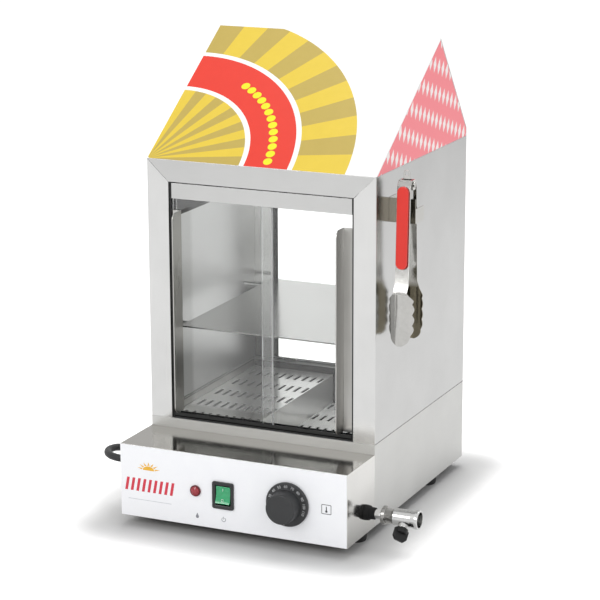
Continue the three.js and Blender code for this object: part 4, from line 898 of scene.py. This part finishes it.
# Rigid plastic sheet: white and satin; the bare back is a little greyer
sign_white = moulded("white_sheet", 0xF6F6F4, 0xFDFDFC, 0.36, 1.2, 0.005)
bare_white = moulded("unprinted_white_sheet", 0xD9D9D7, 0xE2E2E0, 0.36, 1.2, 0.005)
for panel, white in (("sign_front", sign_white), ("sign_back", bare_white)):
    finished(f"{panel}_sheet", panel, white, 0.3)
up = SIGN_RISE.normalized()
out = Vector((1, 0, 0)).cross(up)
SIGN_FACE = Matrix(((1, up.x, out.x, SIGN_FOOT.x), (0, up.y, out.y, SIGN_FOOT.y),
                    (0, up.z, out.z, SIGN_FOOT.z), (0, 0, 0, 1)))
ink_gold = ink("ink_gold", 0xE9CB3B)
ink_ochre = ink("ink_ochre", 0xC3AB50)
ink_scarlet = ink("ink_scarlet", 0xEA3116)
ink_lemon = ink("ink_lemon", 0xF2F000)


def fan(inner, outer, start, end, steps=6):
    """A wedge of a ring about the sign's lower left corner, kept on the sheet."""
    line = circle(0, 0, outer, steps, start, end - start)
    line += circle(0, 0, inner, steps, start, end - start)[::-1]
    kept = [(min(x, 2 * SIGN_HALF) - SIGN_HALF, min(max(y, 0.4), SLOPE - 0.6)) for x, y in line]
    return list(dict.fromkeys(kept))


INNER_RAYS = (2, 112)
RED_ARCH = (118, 170)
OUTER_RAYS = (176, 238)
WEDGES = 12


def wedges(radii, first=0, every=1):
    """The wedges of a ring between two radii, all of them or every other one."""
    turn = math.pi / 2 / WEDGES
    return [fan(*radii, index * turn, (index + 1) * turn) for index in range(first, WEDGES, every)]


flat_print("sign_gold_rays", wedges(OUTER_RAYS, 0, 2) + wedges(INNER_RAYS, 1, 2), ink_gold, SIGN_FACE)
flat_print("sign_ochre_rays", wedges(OUTER_RAYS, 1, 2) + wedges(INNER_RAYS, 0, 2), ink_ochre, SIGN_FACE)
flat_print("sign_red_arch", wedges(RED_ARCH), ink_scarlet, SIGN_FACE)

# Dots along the middle of the red arch: flat discs of the lemon ink, spaced evenly on an arc
DOTS = {"Dots": 13, "Arch Radius": sum(RED_ARCH) / 2, "Dot Radius": 5.2, "Dot Height": INK * 2,
        "Start Angle": math.radians(4), "Sweep Angle": math.radians(56)}
dot_tree = bpy.data.node_groups.new("dots_on_arch", "GeometryNodeTree")
dot_tree.interface.new_socket("Geometry", in_out="OUTPUT", socket_type="NodeSocketGeometry")
for key, value in DOTS.items():
    kind = "NodeSocketInt" if isinstance(value, int) else "NodeSocketFloat"
    dot_tree.interface.new_socket(key, in_out="INPUT", socket_type=kind).default_value = value
sizes = add_node(dot_tree, "NodeGroupInput").outputs
arch = add_node(dot_tree, "GeometryNodeCurveArc", {"Resolution": sizes["Dots"],
                                                   "Radius": sizes["Arch Radius"],
                                                   "Start Angle": sizes["Start Angle"],
                                                   "Sweep Angle": sizes["Sweep Angle"]}, mode="RADIUS")
stops = add_node(dot_tree, "GeometryNodeCurveToPoints", {"Curve": arch.outputs["Curve"]}, mode="EVALUATED")
disc = add_node(dot_tree, "GeometryNodeMeshCylinder", {"Vertices": 24, "Radius": sizes["Dot Radius"],
                                                       "Depth": sizes["Dot Height"]})
spread = add_node(dot_tree, "GeometryNodeInstanceOnPoints", {"Points": stops.outputs["Points"],
                                                             "Instance": disc.outputs["Mesh"]})
solid = add_node(dot_tree, "GeometryNodeRealizeInstances", {"Geometry": spread.outputs["Instances"]})
inked = add_node(dot_tree, "GeometryNodeSetMaterial", {"Geometry": solid.outputs["Geometry"],
                                                       "Material": ink_lemon})
add_node(dot_tree, "NodeGroupOutput", {"Geometry": inked.outputs["Geometry"]})
dot_holder = bpy.data.objects.new("dots", bpy.data.meshes.new("dots"))
scene.collection.objects.link(dot_holder)
dot_rule = dot_holder.modifiers.new("dots", "NODES")
dot_rule.node_group = dot_tree
for socket in dot_tree.interface.items_tree:
    if socket.in_out == "INPUT":
        dot_rule[socket.identifier] = DOTS[socket.name]
bpy.context.view_layer.update()
dot_mesh = bpy.data.meshes.new_from_object(dot_holder.evaluated_get(bpy.context.evaluated_depsgraph_get()))
dot_skin = bmesh.new()
dot_skin.from_mesh(dot_mesh)
bpy.data.objects.remove(dot_holder)
bpy.data.meshes.remove(dot_mesh)
dots = moved(dot_skin, SIGN_FACE @ at(-SIGN_HALF, 0, INK))
piece("sign_dots", dots, ink_lemon)

# Sign sides: two triangles of the same plastic sheet that close the sign's ends. They are
# printed rose all over, with rows of small pale diamonds.
DIAMOND_PITCH = (13.0, 29.5)
DIAMOND_HALF = (4.4, 9.5)
DIAMOND_TILT = math.radians(18)
# Printed sheet: an even rose ink with a satin gloss
rose, rose_tree, rose_shader = start_material("rose_print")
rose_place = add_node(rose_tree, "ShaderNodeTexCoord")
rose_turn = add_node(rose_tree, "ShaderNodeMapping", {"Vector": rose_place.outputs["Object"],
                                                      "Rotation": (DIAMOND_TILT, 0, 0),
                                                      "Scale": (1 / MM, 1 / MM, 1 / MM)})
rose_axes = add_node(rose_tree, "ShaderNodeSeparateXYZ", {"Vector": rose_turn.outputs[0]})


def fold(tree, value, pitch, half):
    """How far a value lies from the middle of its repeat, as a share of half."""
    return maths(tree, "MULTIPLY", maths(tree, "PINGPONG", value, pitch / 2), 1 / half)


rose_across = fold(rose_tree, rose_axes.outputs["Y"], DIAMOND_PITCH[0], DIAMOND_HALF[0])
rose_up = fold(rose_tree, rose_axes.outputs["Z"], DIAMOND_PITCH[1], DIAMOND_HALF[1])
in_diamond = maths(rose_tree, "LESS_THAN", maths(rose_tree, "ADD", rose_across, rose_up), 1.0)
rose_mottle = grain_input(rose_tree, 1.2)
rose_ground = two_tone(rose_tree, rose_mottle, 0xFF7F88, 0xFF8992)
fill(rose_shader, {"Base Color": blended(rose_tree, in_diamond, rose_ground, colour(0xFFF6F4)),
                   "Roughness": shade_range(rose_tree, rose_mottle, 0.3, 0.4)})
for panel in ("sign_left", "sign_right"):
    finished(f"{panel}_sheet", panel, rose, 0.3)

# Tongs and their bracket: a folded hook on the wall, and sprung tongs of polished sheet
# with red vinyl grips, a pin and scalloped scoops.
# Brushed stainless; its faces that look front and back are painted darker and warmer, as the
# shade on its web
bracket_steel = brushed("stainless_bracket", 0xBAB9B5, 0xC6C5C1, 0.2, 0.3, "X")
facing_tone(bracket_steel, "Y", 0xD6CFC2)
finished("tongs_bracket_sheet", "tongs_bracket", bracket_steel, 0.25)
# Polished stainless: close to a mirror, and slightly warm
tong_steel = metal("polished_tong_steel", 0xACABA8, 0xBDBCB9, 0.1, 0.18, 4.0)
# The rear arm is a paler copy of the front arm's steel, painted brighter for the light on its
# upper part, and painted darker on its scoop, below 274 to 284 mm, for the front scoop's
# hollow mirrored there
rear_tong_steel = metal("polished_rear_tong_steel", 0xC6C5C1, 0xDAD9D5, 0.12, 0.2, 4.0)
multiplied(rear_tong_steel, share_below(rear_tong_steel.node_tree, 274, 284), 0x98917F)
# Dipped vinyl: a warm red skin with a soft shine
grip_vinyl = moulded("red_vinyl", 0xD6251A, 0xE63226, 0.34, 0.8, 0.02)
for arm, rides, arm_steel in (("front", "tongs", tong_steel), ("rear", "tongs_rear_arm", rear_tong_steel)):
    finished(f"tongs_{arm}_arm_sheet", f"tongs_{arm}_arm", arm_steel, 0.25, 15, rides)
    finished(f"tongs_{arm}_grip_vinyl", f"tongs_{arm}_grip", grip_vinyl, 1.2, body=rides)
finished("tongs_pin_rivet", "tongs_pin", tong_steel, 0.3, body="tongs")
finished("tongs_tab_sheet", "tongs_pull_tab", tong_steel, 0.3, body="tongs")

# Worktop and backdrop: matt white paper in a studio. The worktop keeps the soft shadow under
# the steamer, deepened by a painted shadow near its footprint, and turns plain white a little
# way out; behind it everything is white.
SKY_LIGHT = 0.64
sky = bpy.data.worlds.new("studio")
scene.world = sky
sky.use_nodes = True
sky_tree = sky.node_tree
sky_tree.nodes.clear()
sky_rays = add_node(sky_tree, "ShaderNodeLightPath").outputs
sky_seen = maths(sky_tree, "MAXIMUM", sky_rays["Is Camera Ray"], sky_rays["Is Glossy Ray"])
sky_shown = maths(sky_tree, "MAXIMUM", sky_seen, sky_rays["Is Transmission Ray"])
sky_soft = add_node(sky_tree, "ShaderNodeBackground", {"Color": (1, 1, 1, 1), "Strength": SKY_LIGHT})
sky_white = add_node(sky_tree, "ShaderNodeBackground", {"Color": (1, 1, 1, 1), "Strength": 1.0})
sky_mix = add_node(sky_tree, "ShaderNodeMixShader", {0: sky_shown, 1: sky_soft.outputs[0],
                                                     2: sky_white.outputs[0]})
add_node(sky_tree, "ShaderNodeOutputWorld", {"Surface": sky_mix.outputs[0]})

# The paper is painted grey as shadow close to the steamer's footprint, and its glow to white
# starts only a little way out from it. All lengths here are in metres, outwards from the footprint.
FOOTPRINT_MIDDLE = (-0.0315, 0.0115, 0)
FOOTPRINT_HALF = (0.1375, 0.1745, 1)
SHADE_REACH = 0.08
SHADE_AT_BASE = 0.62
SHADE_FAR = 0.96
GLOW_STARTS = 0.02
GLOW_FULL = 0.085
GLOW = 0.45
MIRRORED_SHARE = 0.3
FLOOR_HALF = 14.0
paper = bpy.data.materials.new("white_floor")
paper.use_nodes = True
paper_tree = paper.node_tree
paper_tree.nodes.clear()
paper_rays = add_node(paper_tree, "ShaderNodeLightPath").outputs
paper_place = add_node(paper_tree, "ShaderNodeTexCoord")


def vector_maths(tree, operation, *values):
    """One sum on vectors; a length comes out as a number."""
    made = add_node(tree, "ShaderNodeVectorMath", dict(enumerate(values)), operation=operation)
    return made.outputs["Value" if operation == "LENGTH" else "Vector"]


from_middle = vector_maths(paper_tree, "SUBTRACT", paper_place.outputs["Object"], FOOTPRINT_MIDDLE)
either_side = vector_maths(paper_tree, "ABSOLUTE", from_middle)
past_edge = vector_maths(paper_tree, "SUBTRACT", either_side, FOOTPRINT_HALF)
away = vector_maths(paper_tree, "LENGTH", vector_maths(paper_tree, "MAXIMUM", past_edge, (0, 0, 0)))
glow_rise = remapped(paper_tree, away, GLOW_STARTS, GLOW_FULL, 0.0, GLOW, interpolation_type="SMOOTHSTEP")
mirrored = maths(paper_tree, "MULTIPLY", paper_rays["Is Glossy Ray"], MIRRORED_SHARE)
seen = maths(paper_tree, "MAXIMUM", paper_rays["Is Camera Ray"], mirrored)
shown = maths(paper_tree, "MAXIMUM", seen, paper_rays["Is Transmission Ray"])
glow_now = maths(paper_tree, "MULTIPLY", shown, glow_rise)
glow = add_node(paper_tree, "ShaderNodeEmission", {"Color": (1, 1, 1, 1), "Strength": glow_now})
shade = remapped(paper_tree, away, 0.0, SHADE_REACH, SHADE_AT_BASE, SHADE_FAR)
grey = add_node(paper_tree, "ShaderNodeCombineColor", {"Red": shade, "Green": shade, "Blue": shade})
matt = add_node(paper_tree, "ShaderNodeBsdfDiffuse", {"Color": grey.outputs[0]})
paper_look = add_node(paper_tree, "ShaderNodeAddShader", {0: glow.outputs[0], 1: matt.outputs[0]})
add_node(paper_tree, "ShaderNodeOutputMaterial", {"Surface": paper_look.outputs[0]})
floor_skin = bmesh.new()
bmesh.ops.create_grid(floor_skin, x_segments=1, y_segments=1, size=FLOOR_HALF)
floor_mesh = bpy.data.meshes.new("floor")
floor_skin.to_mesh(floor_mesh)
floor_skin.free()
floor_mesh.materials.append(paper)
worktop = bpy.data.objects.new("floor", floor_mesh)
scene.collection.objects.link(worktop)


# Lamps: three large soft boxes above, in front and at the right, and a small one inside the
# cabinet that stands for the light thrown back and forth between its bright walls.
def lamp(name, place, towards, width, height, power):
    """A soft rectangular lamp that faces a point."""
    light = bpy.data.lights.new(name, "AREA")
    light.shape = "RECTANGLE"
    light.size = width
    light.size_y = height
    light.energy = power
    made = bpy.data.objects.new(name, light)
    scene.collection.objects.link(made)
    turn = (Vector(towards) - Vector(place)).to_track_quat("-Z", "Y").to_matrix().to_4x4()
    made.matrix_world = Matrix.Translation(place) @ turn
    return made


lamp("top_lamp", (0.0, 0.9, 2.2), (0, 0, 0.2), 1.4, 1.4, 19)
lamp("front_lamp", (-1.0, -2.6, 1.7), (0, 0, 0.25), 1.4, 1.0, 21)
lamp("side_lamp", (1.9, -1.8, 1.3), (0, 0, 0.2), 1.4, 1.4, 10)
inner_lamp = lamp("inner_lamp", (0.03, 0.06, 0.2), (0.0, 0.05, 0.0), 0.16, 0.18, 0.17)
for sight in ("visible_camera", "visible_glossy", "visible_transmission"):
    setattr(inner_lamp, sight, False)
